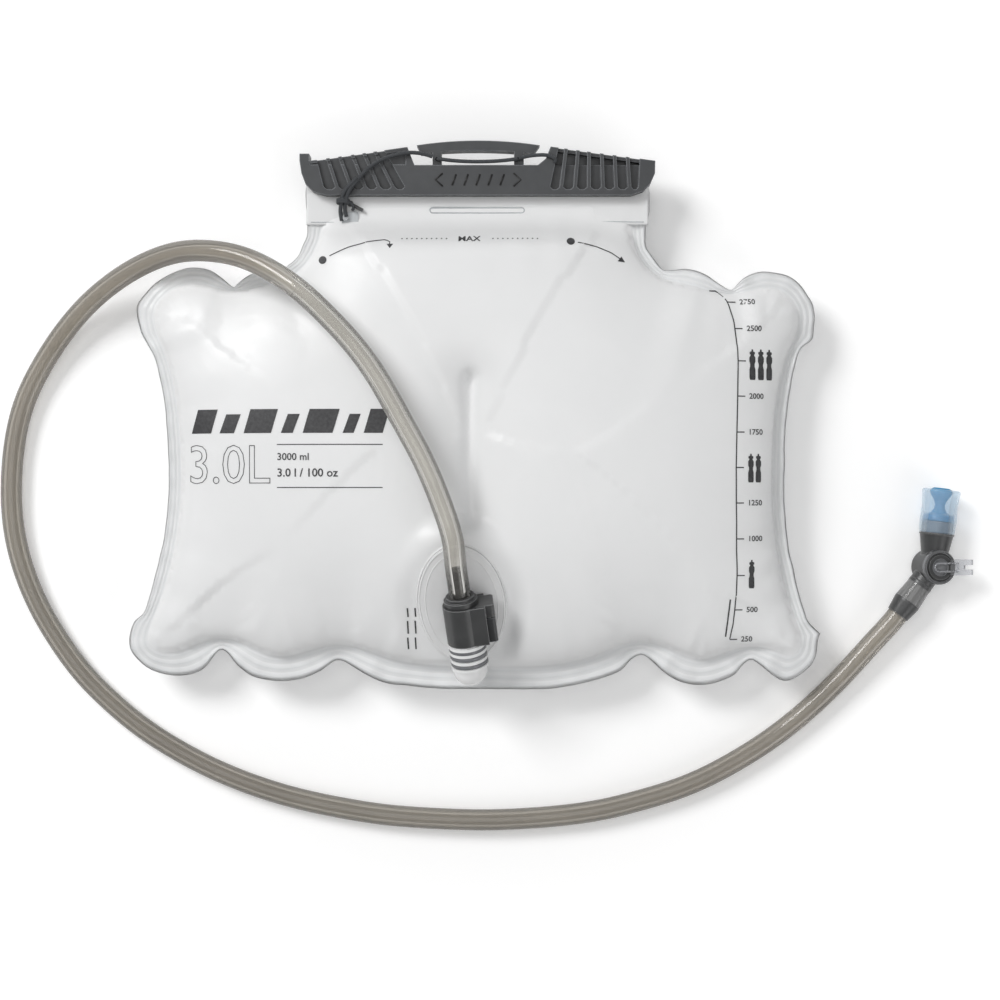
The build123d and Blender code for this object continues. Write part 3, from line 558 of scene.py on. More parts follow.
def inflate():
    water = inside_poly(GX, GY, weld)
    baffle = (np.abs(GX - BAFFLE_X) < 1.0) & (GY > BAFFLE_Y0) & (GY < BAFFLE_Y1)
    coarser = None
    for k, passes in RELAX_STEPS.items():
        level_water = water[::k, ::k]
        u = np.zeros(level_water.shape)
        if coarser is not None:
            doubled = np.kron(coarser, np.ones((2, 2)))
            nx, ny = np.minimum(u.shape, doubled.shape)
            u[:nx, :ny] = doubled[:nx, :ny]
        held = baffle[::k, ::k] if k <= 2 else None
        coarser = relax(u, level_water, held, CELL * k, passes)
    return coarser / coarser.max()


def weld_distance(reach=45):
    """Distance from the weld line at each grid point, up to the reach."""
    dist = np.full(GX.shape, 1e9)
    for px, py in resample(np.vstack([weld, weld[:1]]), 900):
        ix = slice(int(max(0, (px - reach - grid_x[0]) / CELL)),
                   int(min(len(grid_x), (px + reach - grid_x[0]) / CELL)))
        iy = slice(int(max(0, (py - reach - grid_y[0]) / CELL)),
                   int(min(len(grid_y), (py + reach - grid_y[0]) / CELL)))
        dist[ix, iy] = np.minimum(dist[ix, iy], np.hypot(GX[ix, iy] - px, GY[ix, iy] - py))
    return np.minimum(dist, float(reach))


def bilinear(grid, x, y):
    fx = np.clip((x - grid_x[0]) / CELL, 0, len(grid_x) - 1.001)
    fy = np.clip((y - grid_y[0]) / CELL, 0, len(grid_y) - 1.001)
    i, j = fx.astype(int), fy.astype(int)
    a, b = fx - i, fy - j
    return (grid[i, j] * (1 - a) * (1 - b) + grid[i + 1, j] * a * (1 - b)
            + grid[i, j + 1] * (1 - a) * b + grid[i + 1, j + 1] * a * b)


def nearest_arc(x, y):
    """Arc length of the nearest weld point, worked out in chunks to save memory."""
    out = np.zeros(len(x))
    for k in range(0, len(x), 400):
        part = slice(k, k + 400)
        gap = (x[part, None] - weld[None, :, 0]) ** 2 + (y[part, None] - weld[None, :, 1]) ** 2
        out[part] = arc[gap.argmin(1)]
    return out


swell = inflate()
weld_gap = weld_distance()

# notches between the lobes of the edge pull the film into creases
notch = np.clip(np.einsum("ij,ij->i", edge - blur_loop(edge, 260), inward) / 5.0, -1, 1)
PHASE = np.random.default_rng(7).uniform(0, TURN, 12)


def wave(s, length, phase, warp=0.0):
    """Sine along the edge."""
    return np.sin(TURN * s / length + PHASE[phase] + warp)


def notch_at(s, sign=1):
    return np.interp(s, arc, np.clip(sign * notch, 0, 1), period=arc[-1])


def pucker(s, d):
    """Creases that run in from the weld line and fade away."""
    wide = wave(s, 17.0, 0, 1.6 * wave(s, 97.0, 1))
    narrow = wave(s, 9.3, 2, 2.1 * wave(s, 61.0, 3))
    amount = 0.55 + 0.45 * wave(s, 143.0, 4)
    fall = (d / 4.0) * np.exp(-(d / 9.0)) * 1.1
    long_fall = (d / 9.0) * np.exp(-(d / 17.0))
    return (amount * (0.55 * wide * fall + 0.30 * narrow * fall * np.exp(-d / 7.0))
            - 2.2 * notch_at(s) * long_fall)


def seam_z(s):
    return SEAM + 0.9 * wave(s, 118.0, 5) - 1.2 * notch_at(s)


def flange_plane(x, y):
    """Height of the port's flange plane, and how strongly the film follows it."""
    rise = PORT_UP[0] * (x - FLANGE[0]) + PORT_UP[1] * (y - FLANGE[1])
    z = FLANGE[2] - rise / PORT_UP[2]
    p = np.stack([x - FLANGE[0], y - FLANGE[1], z - FLANGE[2]], -1)
    r = np.sqrt((p @ PORT_SIDE / 21.0) ** 2 + (p @ PORT_AXIS / 30.5) ** 2)
    return z, smoothstep((1.55 - r) / 0.52)


def neck_share(y):
    """How far the film has flattened on its way up the neck."""
    return smoothstep((y - 104.0) / 20.0)


def front_z(x, y, s):
    d = bilinear(weld_gap, x, y)
    fade = np.clip(d / 30.0, 0, 1)
    z = seam_z(s) + 29.0 * np.sqrt(np.clip(bilinear(swell, x, y), 0, 1)) ** 0.92 + pucker(s, d)
    z += (SEAM - seam_z(s)) * fade
    # soft valley and narrow pinch along the centre baffle
    r = np.hypot(x - BAFFLE_X, y - np.clip(y, BAFFLE_Y0, BAFFLE_Y1))
    z -= 3.4 * np.exp(-(r / 3.2) ** 2) + 2.2 * np.exp(-(r / 13.0) ** 2)
    # very shallow unevenness of a filled bag
    z += 0.35 * np.sin(x / 23.0 + 1.0) * np.sin(y / 19.0 + 0.4) * fade
    plane, follow = flange_plane(x, y)
    z = z * (1 - follow) + np.minimum(z + 30, plane - 0.25) * follow
    k = neck_share(y)
    return z * (1 - k) + (SEAM + 0.55 + (z - SEAM) * 0.10) * k


def back_z(x, y, s):
    h = np.clip(np.sqrt(np.clip(bilinear(swell, x, y), 0, 1)) * 1.9, 0, 1)
    d = bilinear(weld_gap, x, y)
    z = seam_z(s) - 20.6 * np.sin(h * math.pi / 2) - 0.6 * pucker(s + 31.0, d)
    z += (SEAM - seam_z(s)) * np.clip(d / 30.0, 0, 1)
    k = neck_share(y)
    return np.maximum(z * (1 - k) + (SEAM - 0.55) * k, 0.25)


# ---------------------------------------------------------------- film mesh
RINGS = 7       # loops of points across the seal
NET = 2.2


def net_points():
    """Staggered points over the water space."""
    pts = []
    row = 0
    y = -100.0
    while y < 132:
        x = -166.0 + (NET / 2 if row % 2 else 0)
        while x < 166:
            pts.append((x, y))
            x += NET
        y += NET * 0.866
        row += 1
    pts = np.array(pts)
    pts = pts[inside_poly(pts[:, 0], pts[:, 1], weld)]
    return pts[bilinear(weld_gap, pts[:, 0], pts[:, 1]) > NET * 0.55]


def plan_mesh():
    """Plan points and faces of one sheet: strips across the seal, a fine net inside."""
    points = [p + (q - p) * k / (RINGS - 1) for k in range(RINGS) for p, q in zip(edge, weld)]
    plan_faces = []
    for k in range(RINGS - 1):
        outer, inner = k * EDGE_COUNT, (k + 1) * EDGE_COUNT
        for i in range(EDGE_COUNT):
            j = (i + 1) % EDGE_COUNT
            plan_faces.append((outer + i, outer + j, inner + j, inner + i))
    net = delaunay_2d_cdt([Vector(p) for p in weld] + [Vector(p) for p in net_points()],
                          [], [list(range(EDGE_COUNT))], 1, 1e-4)
    # points on the weld line are those of the last ring
    index = []
    for point, sources in zip(net[0], net[3]):
        on_weld = [j for j in sources if j < EDGE_COUNT]
        if on_weld:
            index.append((RINGS - 1) * EDGE_COUNT + on_weld[0])
        else:
            index.append(len(points))
            points.append(np.array(tuple(point)))
    plan_faces += [tuple(index[i] for i in t) for t in net[2]]
    return np.array(points), plan_faces


plan, film_faces = plan_mesh()
plan_x, plan_y = plan[:, 0], plan[:, 1]
count = len(plan)
band_count = RINGS * EDGE_COUNT
band = np.arange(count) < band_count
plan_arc = np.concatenate([np.tile(arc, RINGS),
                           nearest_arc(plan_x[band_count:], plan_y[band_count:])])
seal = np.concatenate([np.repeat(np.arange(RINGS) / (RINGS - 1), EDGE_COUNT),
                       1 + bilinear(weld_gap, plan_x, plan_y)[band_count:] / 6.0])
# the sealed band curls a little, more on the lobes
outerness = 1 - np.clip(seal, 0, 1)
curl = outerness * (0.8 - 2.2 * notch_at(plan_arc, -1)) + 0.35 * wave(plan_arc, 12.0, 6) * outerness
neck_band = (plan_y > 122) & band


def sheet_z(side, inner_z):
    """Heights of one sheet; side is 1 for the front and -1 for the back."""
    z = np.where(band, seam_z(plan_arc) + side * 0.25 + curl, inner_z(plan_x, plan_y, plan_arc))
    return np.where(neck_band, SEAM + side * 0.5, z)


z_front, z_back = sheet_z(1, front_z), sheet_z(-1, back_z)
z_front[:EDGE_COUNT] = (z_front[:EDGE_COUNT] + z_back[:EDGE_COUNT]) / 2
front_verts = np.column_stack([plan, z_front])
back_verts = np.column_stack([plan, z_back])[EDGE_COUNT:]
# the two sheets share the outer edge
back_index = np.arange(count) + count - EDGE_COUNT
back_index[:EDGE_COUNT] = np.arange(EDGE_COUNT)
film = mesh_object("film_body", np.vstack([front_verts, back_verts]),
                   film_faces + [tuple(back_index[i] for i in reversed(f)) for f in film_faces],
                   FILM)
ridge = sum(np.exp(-((np.clip(seal, 0, 3) - centre) / spread) ** 2)
            for centre, spread in ((0.16, 0.10), (0.50, 0.11), (0.84, 0.12)))
for name, values in (("seal", seal), ("ridge", ridge)):
    float_attribute(film, name, np.concatenate([values, values[EDGE_COUNT:]]))
attach(film, "reservoir", replaces=("front_film", "back_film", "centre_baffle"))

# ---------------------------------------------- folded header with its slot
SLOT_X, SLOT_Y = -0.15, 126.4


def ripple(x):
    return 1 + math.sin(x / 8.5 + 0.8 * math.sin(x / 31.0))


def sway(x):
    return 0.25 * math.sin(x / 27.0 + 0.7)


def header_flap():
    """Film flap folded over the rail: a thin sheet with a real slot."""
    # (y, z) up the front, over the fold and down behind
    profile = [(y, 22.13) for y in (119.8, 120.6, 121.6, 122.8, 124.0, 125.22, 126.0, 126.8,
                                    127.57, 128.6, 130.0, 131.6, 133.2, 135.0)]
    profile += [(136.4, 23.25), (137.9, 24.37), (139.4, 24.37), (141.0, 24.37)]
    profile += [(142.5 + 2.17 * math.cos(w), 22.2 + 2.17 * math.sin(w))
                for w in np.linspace(math.pi / 2, -math.pi / 2, 11)]
    profile += [(141.0, 20.03), (138.0, 20.03), (135.6, 20.03), (134.0, 20.03)]
    profile = np.array(profile)
    along = np.gradient(profile, axis=0)
    along /= np.linalg.norm(along, axis=1)[:, None]
    normals = np.stack([-along[:, 1], along[:, 0]], 1)
    xs = np.linspace(-80.1, 80.1, 179)
    nx, ny = len(xs), len(profile)
    verts, faces = [], []
    for side in (0.31, -0.31):      # half the thickness, each way
        for x in xs:
            for j, (y, z) in enumerate(profile):
                lift = max(0.0, 1 - abs(y - 121.5) / 6.0) * 0.22 * ripple(x) if j < 10 else 0.0
                shift = sway(x) * max(0.0, (123.5 - y) / 3.7)
                verts.append((x, y + shift + normals[j, 0] * side,
                              z + lift + normals[j, 1] * side))
    base = nx * ny

    def hole(i, j):
        xm = (xs[i] + xs[i + 1]) / 2
        ym = (profile[j, 0] + profile[j + 1, 0]) / 2
        half = 21.9 if 125.9 < ym < 126.9 else 21.2
        return j < 9 and abs(xm - SLOT_X) < half and 125.2 < ym < 127.6

    for i in range(nx - 1):
        for j in range(ny - 1):
            if hole(i, j):
                continue
            a = i * ny + j
            b, c, d = a + ny, a + ny + 1, a + 1
            faces.append((a, b, c, d))
            faces.append((base + d, base + c, base + b, base + a))
            for p, q, ii, jj in ((a, b, i, j - 1), (b, c, i + 1, j),
                                 (c, d, i, j + 1), (d, a, i - 1, j)):
                outside = ii < 0 or jj < 0 or ii > nx - 2 or jj > ny - 2
                if outside or hole(ii, jj):
                    faces.append((q, p, base + p, base + q))
    return mesh_object("header_flap", verts, faces, FLAP)


attach(header_flap(), "reservoir", replaces=("header_strip",))
slot_line = [(SLOT_X + side * (20.9 + 1.25 * math.cos(w)), SLOT_Y + side * 1.25 * math.sin(w), 22.75)
             for side in (1, -1) for w in np.linspace(-math.pi / 2, math.pi / 2, 9)]
flap_line = [(x, 121.0 + sway(x), 22.70 + 0.2 * ripple(x)) for x in np.linspace(-78, 78, 120)]
slot_rim = tube("slot_rim", resample(np.array(slot_line + slot_line[:1]), 120), 0.30, 8, CLEAR)
flap_weld = tube("flap_weld", flap_line, 0.16, 6, CLEAR, caps=True)
for ob in (slot_rim, flap_weld):
    attach(ob, "reservoir")

# --------------------------------------------- materials of the CAD pieces
for mat, nodes in (
        (CLEAR, "fold_rail cord_anchor"),
        (FROST, "port_base"),
        (DARK, "slide_channel"),
        (HOUSE, "cord_toggle port_poppet plug_housing plug_stem hose_collar hose_gland "
                "valve_stem swivel_ring elbow_body"),
        (RUBBER, "stem_orings swivel_oring rotor_orings"),
        (STEEL, "latch_clip"),
        (BUTTON, "release_button"),
        (SMOKE, "clear_sleeve"),
        (LEVER, "shutoff_lever"),
        (GREY, "bite_band")):
    for node in nodes.split():
        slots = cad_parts[node].data.materials
        slots.clear()
        slots.append(mat)


# ------------------------------------------------------------------ springs
def coil(name, start, axis, length, radius, turns, wire, parts, replaces):
    """Wire spring drawn between the two parts it pushes apart."""
    a = unit(np.cross(axis, (0.31, 0.22, 0.9)))
    b = np.cross(axis, a)
    angles = np.linspace(0, TURN * turns, int(turns * 22))
    line = [start + axis * (wire + (length - 2 * wire) * w / angles[-1])
            + radius * (math.cos(w) * a + math.sin(w) * b) for w in angles]
    ob = tube(name, line, wire, 8, STEEL, caps=True)
    ends = tuple(start * MM), tuple((start + axis * length) * MM)
    attach(ob, between=(*parts, *ends), replaces=(replaces,))


coil("button_spring_coil", PORT + PORT_SIDE * 8.85 + PORT_AXIS * 20.5, PORT_SIDE, length=4.1,
     radius=1.18, turns=5, wire=0.2, parts=("plug", "release"), replaces="button_spring")
coil("poppet_spring_coil", PORT - PORT_AXIS * 3.85, PORT_AXIS, length=7.75, radius=2.25,
     turns=6, wire=0.24, parts=("reservoir", "port_valve"), replaces="poppet_spring")

# --------------------------------------------------------------------- hose
hose_knots = np.array([PORT + PORT_AXIS * s for s in (33.9, 38, 42, 46, 50)] + HOSE
                      + [GLAND + GLAND_AXIS * s for s in (-1, 3, 7, 11, 15.4)])
hose_line = np.vstack([spline(hose_knots, 2.0), hose_knots[-1:]])


def hose_index(point):
    return int(np.linalg.norm(hose_line - np.array(point), axis=1).argmin())


HINGES = {name: hose_index(point) for name, point in (
    ("left", (-222.31, -14.0, 5)), ("corner", (-161.14, -117.1, 5)),
    ("lift", (38.97, -160.02, 5)), ("right", (119.06, -136.21, 5)))}
left, corner, lift, right = HINGES.values()
cuts = [0, hose_index((-208.0, 54.0, 6.0)), (left + corner) // 2, (corner + lift) // 2,
        (lift + right) // 2, min(right + 24, len(hose_line) - 30), len(hose_line) - 1]
# name, hinge it bends at, part before, part after, CAD pieces it stands for
HOSE_PIECES = [
    ("hose_over", None, "plug", None, ("hose_a",)),
    ("hose_left_bend", "left", "plug", "hose_left", ("hose_b",)),
    ("hose_corner_bend", "corner", "hose_left", "hose_bottom", ("hose_c",)),
    ("hose_lift_bend", "lift", "hose_bottom", "hose_right", ("hose_d",)),
    ("hose_right_bend", "right", "hose_right", "hose_end", ("hose_e",)),
    ("hose_tail", None, "hose_end", None, ()),
]


def set_clear_and_lit(ob):
    """Clear and paler at the plug, half clear with a painted lighter colour where the hose
    rises over the bag.
    """
    co = np.array([v.co[:] for v in ob.data.vertices]) / MM
    near = np.clip((60.0 - (co - PORT) @ PORT_AXIS) / 9.0, 0, 1)
    near[co[:, 1] > 0] = 0.0
    # painted light: the stretch over the bag turns half clear and paler
    over = np.clip((co[:, 0] + 104.0) / 26.0, 0, 1) * 0.50
    float_attribute(ob, "clear_and_lit", np.maximum(near, over))


for (name, hinge, part, next_part, replaces), first, last in zip(HOSE_PIECES, cuts, cuts[1:]):
    ob = tube(name, hose_line[first:last + 1], HOSE_RADIUS, 40, HOSE_SMOKE, bore=BORE_RADIUS,
              ends=(first == 0, last == len(hose_line) - 1))
    if name == "hose_over":
        set_clear_and_lit(ob)
    if hinge is None:
        attach(ob, part, replaces=replaces)
    else:
        k = HINGES[hinge]
        reach = min(16, k - first - 1, last - k - 1)
        ends = tuple(hose_line[k - reach] * MM), tuple(hose_line[k + reach] * MM)
        attach(ob, between=(part, next_part, *ends), replaces=replaces)

# --------------------------------------------------------------- bite valve
# radius, distance from the valve centre and oval share
CORE_PROFILE = [
    (0.01, 37.7, 0.45), (3.6, 37.7, 0.45), (4.5, 37.3, 0.5), (5.6, 36.0, 0.55), (4.6, 34.0, 0.55),
    (3.0, 31.6, 0.6), (2.3, 29.6, 0.8), (2.7, 27.6, 1), (4.0, 25.8, 1), (6.2, 24.9, 1),
    (7.0, 24.5, 1), (7.25, 23.4, 1), (7.2, 22.2, 1), (6.9, 21.7, 1), (3.2, 21.6, 1),
]
# radius and distance, up the outer wall, over the lip and down the inner wall
SHEATH_PROFILE = [
    (7.45, 16.2), (8.15, 16.25), (8.35, 17.2), (8.5, 19.5), (8.62, 22.5), (8.5, 26.0),
    (8.35, 29.0), (8.6, 32.5), (9.0, 35.2), (9.05, 35.9), (8.9, 36.5), (8.55, 36.9),
    (8.2, 36.95), (7.8, 36.0), (7.4, 33.0), (7.1, 29.5), (7.05, 26.0), (7.5, 22.5),
    (7.5, 19.5), (7.45, 16.2),
]
for name, profile, mat, slot, cad in (
        ("bite_core_soft", CORE_PROFILE, BLUE, "core_blue", "bite_core"),
        ("bite_sheath_soft", SHEATH_PROFILE, SILICONE, "silicone", "bite_sheath")):
    ob = lathe(name, profile, VALVE, MOUTH_AXIS, np.cross(MOUTH_AXIS, (0, 0, 1.0)), 72, mat)
    attach(ob, "elbow", replaces=(cad,))

# -------------------------------------------------------------- tether cord
CORD_STEP = 0.8
TETHER_ENDS = ("reservoir", "slide_seal", (-0.0625, 0.1265, 0.0255), (-0.028, 0.1521, 0.030))
CORD_A = [(-61.2, 123.0, 24.9), (-61.9, 126.5, 25.4), (-61.2, 130.0, 27.6), (-59.6, 134.5, 29.9),
          (-56.6, 138.4, 30.3), (-51.4, 144.2, 30.3), (-44.3, 148.9, 30.3), (-37.3, 151.3, 30.3),
          (-30.0, 152.2, 30.1), (-24.5, 151.5, 29.7), (-20.2, 150.3, 28.9)]
CORD_B = [(-63.4, 121.2, 24.6), (-64.0, 125.2, 25.2), (-63.2, 130.2, 27.8), (-61.4, 134.8, 30.0),
          (-58.0, 138.2, 30.6), (-55.4, 141.0, 30.7)]
WRAP = [(-62.6 + 2.6 * math.cos(w), 129.0 + 0.5 * math.sin(w) + 0.10 * w, 27.0 + 1.5 * math.sin(w))
        for w in np.linspace(0, 5.2 * math.pi, 60)]
TAIL = [(-60.2, 130.2, 27.0), (-58.6, 128.8, 26.4), (-57.9, 127.0, 25.6), (-58.8, 125.6, 25.0)]
LOOP = [(-18.8, 149.8, 20.0), (-18.8, 149.8, 25.0), (-17.9, 149.6, 27.6), (-14.0, 149.1, 28.1),
        (-7.0, 148.5, 28.2), (0.4, 148.3, 28.2), (7.5, 148.5, 28.2), (14.5, 149.1, 28.1),
        (18.5, 149.6, 27.6), (19.4, 149.8, 25.0), (19.4, 149.8, 20.0)]
TIE = [(19.6, 149.9, 28.3), (24.0, 150.8, 28.9), (29.5, 151.3, 29.0), (34.5, 150.6, 28.9),
       (36.6, 149.0, 28.6), (35.6, 147.6, 28.2)]
for name, line, radius, sides, replaces in (
        ("tether_cord_a", spline(CORD_A, CORD_STEP), 0.92, 14, ("tether_cord",)),
        ("tether_cord_b", spline(CORD_B, CORD_STEP), 0.92, 14, ()),
        ("tether_wrap", WRAP, 0.7, 12, ()),
        ("tether_tail", spline(TAIL, CORD_STEP), 0.7, 12, ())):
    attach(tube(name, line, radius, sides, CORD, caps=True),
           between=TETHER_ENDS, replaces=replaces)
for name, line, replaces in (("cord_loop_soft", LOOP, ("cord_loop",)), ("cord_tie", TIE, ())):
    attach(tube(name, spline(line, CORD_STEP), 0.88, 14, CORD, caps=True),
           "slide_seal", replaces=replaces)

# ------------------------------------------------------------------- prints
INK_LIFT, TEXT_LIFT = 0.16, 0.20
inks = []
front_surface = BVHTree.FromPolygons([tuple(v) for v in front_verts], film_faces)


def film_z(points):
    """Height of the film's front sheet under each (x, y)."""
    out = []
    for x, y in points:
        hit = front_surface.ray_cast(Vector((x, y, 90.0)), Vector((0, 0, -1.0)))[0]
        out.append(hit.z if hit is not None else SEAM + 1.0)
    return np.array(out)


def ink_mesh(name, points, faces, lift=INK_LIFT, smooth=True):
    points = np.asarray(points, float)
    verts = np.column_stack([points, film_z(points) + lift])
    inks.append(mesh_object(name, verts, faces, INK, smooth))


def strip(name, points, width):
    """A printed line of constant width."""
    p = np.array(points, float)
    p = resample(p, max(2, int(np.linalg.norm(np.diff(p, axis=0), axis=1).sum() / 1.5)) + 1)
    t = np.gradient(p, axis=0)
    t /= np.linalg.norm(t, axis=1)[:, None]
    half = np.stack([-t[:, 1], t[:, 0]], 1) * width / 2
    m = len(p)
    ink_mesh(name, np.vstack([p + half, p - half]),
             [(i, i + m, i + m + 1, i + 1) for i in range(m - 1)])


def filled(name, outline):
    """Filled printed shape, cut fine enough to follow the film."""
    corners = np.array(outline, float)
    rim = []
    for a, b in zip(corners, np.roll(corners, -1, 0)):
        m = max(1, int(np.linalg.norm(b - a) / 1.6))
        rim += [a + (b - a) * k / m for k in range(m)]
    rim = np.array(rim)
    low, high = rim.min(0), rim.max(0)
    xs, ys = np.meshgrid(np.arange(low[0], high[0], 1.7) + 0.31,
                         np.arange(low[1], high[1], 1.7) + 0.27)
    net = np.column_stack([xs.ravel(), ys.ravel()])
    net = net[inside_poly(net[:, 0], net[:, 1], rim)]
    cut = delaunay_2d_cdt([Vector(p) for p in rim] + [Vector(p) for p in net], [],
                          [list(range(len(rim)))], 1, 1e-5)
    ink_mesh(name, [tuple(v) for v in cut[0]], cut[2])


def disc(name, x, y, radius, sides):
    angles = np.linspace(0, TURN, sides, endpoint=False)
    ink_mesh(name, [(x + radius * math.cos(w), y + radius * math.sin(w)) for w in angles],
             [tuple(range(sides))])


def text(name, body, x, y, height, align="LEFT", outline=0.0, bold=0.0, squeeze=1.0):
    """Printed text of the given capital height; outline is the wire radius of hollow text."""
    curve = bpy.data.curves.new(name, "FONT")
    curve.body = body
    curve.align_x = align
    curve.align_y = "CENTER"
    curve.size = height / 0.70
    curve.offset = bold
    curve.resolution_u = 3
    if outline:
        curve.fill_mode = "NONE"
        curve.bevel_depth = outline
        curve.bevel_resolution = 0
    letters = bpy.data.objects.new(name + "_t", curve)
    bpy.context.scene.collection.objects.link(letters)
    bpy.context.view_layer.update()
    me = bpy.data.meshes.new_from_object(letters)
    bpy.data.objects.remove(letters)
    v = np.array([v.co[:] for v in me.vertices])
    points = np.stack([x + v[:, 0] * squeeze, y + v[:, 1]], 1)
    ink_mesh(name, points, [tuple(p.vertices) for p in me.polygons],
             TEXT_LIFT + (v[:, 2] if outline else 0), smooth=False)


# right half of a bottle from base to cap: x in widths, y in half heights
BOTTLE = [(0.42, -1), (0.5, -0.86), (0.5, -0.32), (0.36, -0.12), (0.36, 0.02), (0.5, 0.2),
          (0.5, 0.46), (0.3, 0.6), (0.3, 0.66), (0.44, 0.68), (0.44, 0.82), (0.16, 0.86),
          (0.12, 1.0)]
BOTTLE_LOOP = [(-0.42, -1)] + BOTTLE + [(-a, b) for a, b in BOTTLE[:0:-1]]
# scale line at the right (x, y), top to bottom
SCALE_LINE = [
    (108.6686, 88.6686), (111.8915, 88.6686), (113.7332, 86.8269), (116.4957, 82.4530),
    (118.9819, 73.4749), (120.2711, 60.5832), (120.4553, 54.5978), (120.0869, 38.4833),
    (119.6265, 21.9083), (119.2582, 5.5635), (119.7186, -32.4208), (120.0869, -43.4708),
    (119.8567, -52.2187), (119.4423, -59.5853), (118.7978, -66.9520), (117.4165, -74.0884),
]
TICKS = [(82.6832, "2750"), (70.0218, "2500"), (54.8280, None), (38.4833, "2000"),
         (21.9083, "1750"), (5.5635, None), (-10.7812, "1250"), (-27.3562, "1000"),
         (-44.2995, None), (-60.3681, "500"), (-74.3187, "250")]     # y, label
TICK_LENGTH, LABEL_GAP = 3.6833, 5.5250
BOTTLES = [("3_0", 127.3155, 53.2166, 14.2), ("3_1", 131.4592, 53.2166, 14.2),
           ("3_2", 135.6029, 53.2166, 14.2), ("2_0", 126.3946, 5.3333, 13.2),
           ("2_1", 130.0780, 5.3333, 13.2), ("1", 127.0852, -43.7010, 13.2)]  # x, y, height

strip("print_scale", SCALE_LINE, 0.55)
side_x, side_y = np.array(SCALE_LINE[3:]).T
for k, (y, label) in enumerate(TICKS):
    x = np.interp(-y, -side_y, side_x)
    strip(f"print_tick_{k}", [(x, y), (x + TICK_LENGTH, y)], 0.5)
    if label:
        text(f"print_num_{label}", label, x + LABEL_GAP, y, 2.5, bold=0.045)
for name, x, y, height in BOTTLES:
    width = height * 0.185 * 1.1
    filled("print_bottle" + name, [(x + a * width, y + b * height / 2) for a, b in BOTTLE_LOOP])
strip("print_unit_line", [(115.3446, -72.9374), (117.1863, -55.4416)], 0.7)

# row of leaning bars, alternately tall and short: left and right end of each foot
MOTIF = [(-132.1520, -122.5437), (-118.4258, -111.5628), (-106.9874, -94.1763),
         (-89.6009, -84.1104), (-79.5351, -65.8089), (-61.2335, -56.2006), (-51.6252, -42.9320)]
MOTIF_LEAN, MOTIF_FOOT, MOTIF_TOPS = 3.2028, 21.2551, (32.2360, 29.9483)
for k, (x0, x1) in enumerate(MOTIF):
    top = MOTIF_TOPS[k % 2]
    filled(f"print_motif_{k}", [(x0 + MOTIF_LEAN, top), (x1 + MOTIF_LEAN, top),
                                (x1, MOTIF_FOOT), (x0, MOTIF_FOOT)])
RULE_X0, RULE_X1 = -91.4311, MOTIF[-1][1]
text("print_volume", "3.0L", -134.4397, 5.9275, 17.6, outline=0.16, squeeze=0.93)
for name, y in (("a", 15.9934), ("b", -3.6808)):
    strip("print_rule_" + name, [(RULE_X0, y), (RULE_X1, y)], 0.42)
text("print_vol_small", "3000 ml", RULE_X0, 10.2742, 3.2, bold=0.05)
text("print_vol_oz", "3.0 l / 100 oz", RULE_X0, 2.9535, 3.7, bold=0.07)

# dotted fill line, running out both ways from its label
DOT_PITCH, DOT_Y = 2.29129, 111.7110
for k in range(10):
    for side, x in ((-1, -14.1833), (1, 7.3267)):
        disc(f"print_dot_{side + 1}_{k}", x + side * k * DOT_PITCH, DOT_Y, 0.36, 8)
text("print_max", "MAX", -3.6621, 111.4772, 2.7, align="CENTER", bold=0.07, squeeze=1.25)
# two dashed lines low on the bag: x of each, then y of the dash ends
for k, x in enumerate((-32.0772, -28.6169)):
    for j, (y0, y1) in enumerate(((-59.2285, -63.3809), (-65.2264, -71.2243),
                                  (-73.0698, -78.6063))):
        strip(f"print_side_{k}_{j}", [(x, y0), (x + 0.2768, y1)], 0.7)
# a spot and an arrow on each side of the neck
for name, x, y in (("1", -71.6994, 101.8912), ("2", 43.3327, 110.3082)):
    disc("print_step_" + name, x, y, 1.9, 24)
strip("print_arrow_1", [(-68.4261, 103.7616), (-59.5415, 107.7363), (-50.1893, 110.3082),
                        (-42.7075, 111.2434), (-40.3695, 110.3082), (-40.3695, 108.4377)], 0.5)
filled("print_head_1", [(-41.7723, 108.9053), (-38.7329, 108.9053), (-40.2292, 106.5673)])
strip("print_arrow_2", [(46.6060, 109.8406), (55.0230, 107.9701), (62.0371, 105.1645),
                        (66.2456, 102.3588)], 0.5)
filled("print_head_2", [(65.0766, 101.1898), (66.9470, 103.5278), (68.5836, 100.7222)])
attach(join("film_prints", inks), "reservoir")


# ---------------------------------------------------- port rings and bands
def oval_ring(name, half_width, half_length, radius, height):
    line = [FLANGE + PORT_SIDE * half_width * math.cos(w) + PORT_AXIS * half_length * math.sin(w)
            + PORT_UP * height for w in np.linspace(0, TURN, 121)]
    return tube(name, line, radius, 10, FROST)


attach(join("flange_rings", [oval_ring("flange_ring_a", 19.4, 28.8, 0.34, 1.5),
                             oval_ring("flange_ring_b", 16.6, 25.6, 0.28, 1.5),
                             oval_ring("flange_ring_c", 20.4, 29.9, 0.4, 0.15)]),
       "reservoir")
# radius and offset from the middle of a band
BAND_PROFILE = [(8.1, -1.0), (8.6, -0.8), (8.68, 0.0), (8.6, 0.8), (8.1, 1.0)]
attach(join("port_bands", [
    lathe(f"port_band_{k}", [(r, middle + h) for r, h in BAND_PROFILE],
          PORT, PORT_AXIS, PORT_SIDE, 64, BAND) for k, middle in enumerate((4.1, 7.9, 11.3))]),
    "reservoir")

# ------------------------------------------------------------ shutoff lever
TILT = math.radians(15.0)
LEVER_AXIS = np.array((math.sin(TILT), 0, math.cos(TILT)))
LEVER_X = np.array((math.cos(TILT), 0, -math.sin(TILT)))
LEVER_Y = np.array((0, 1.0, 0))


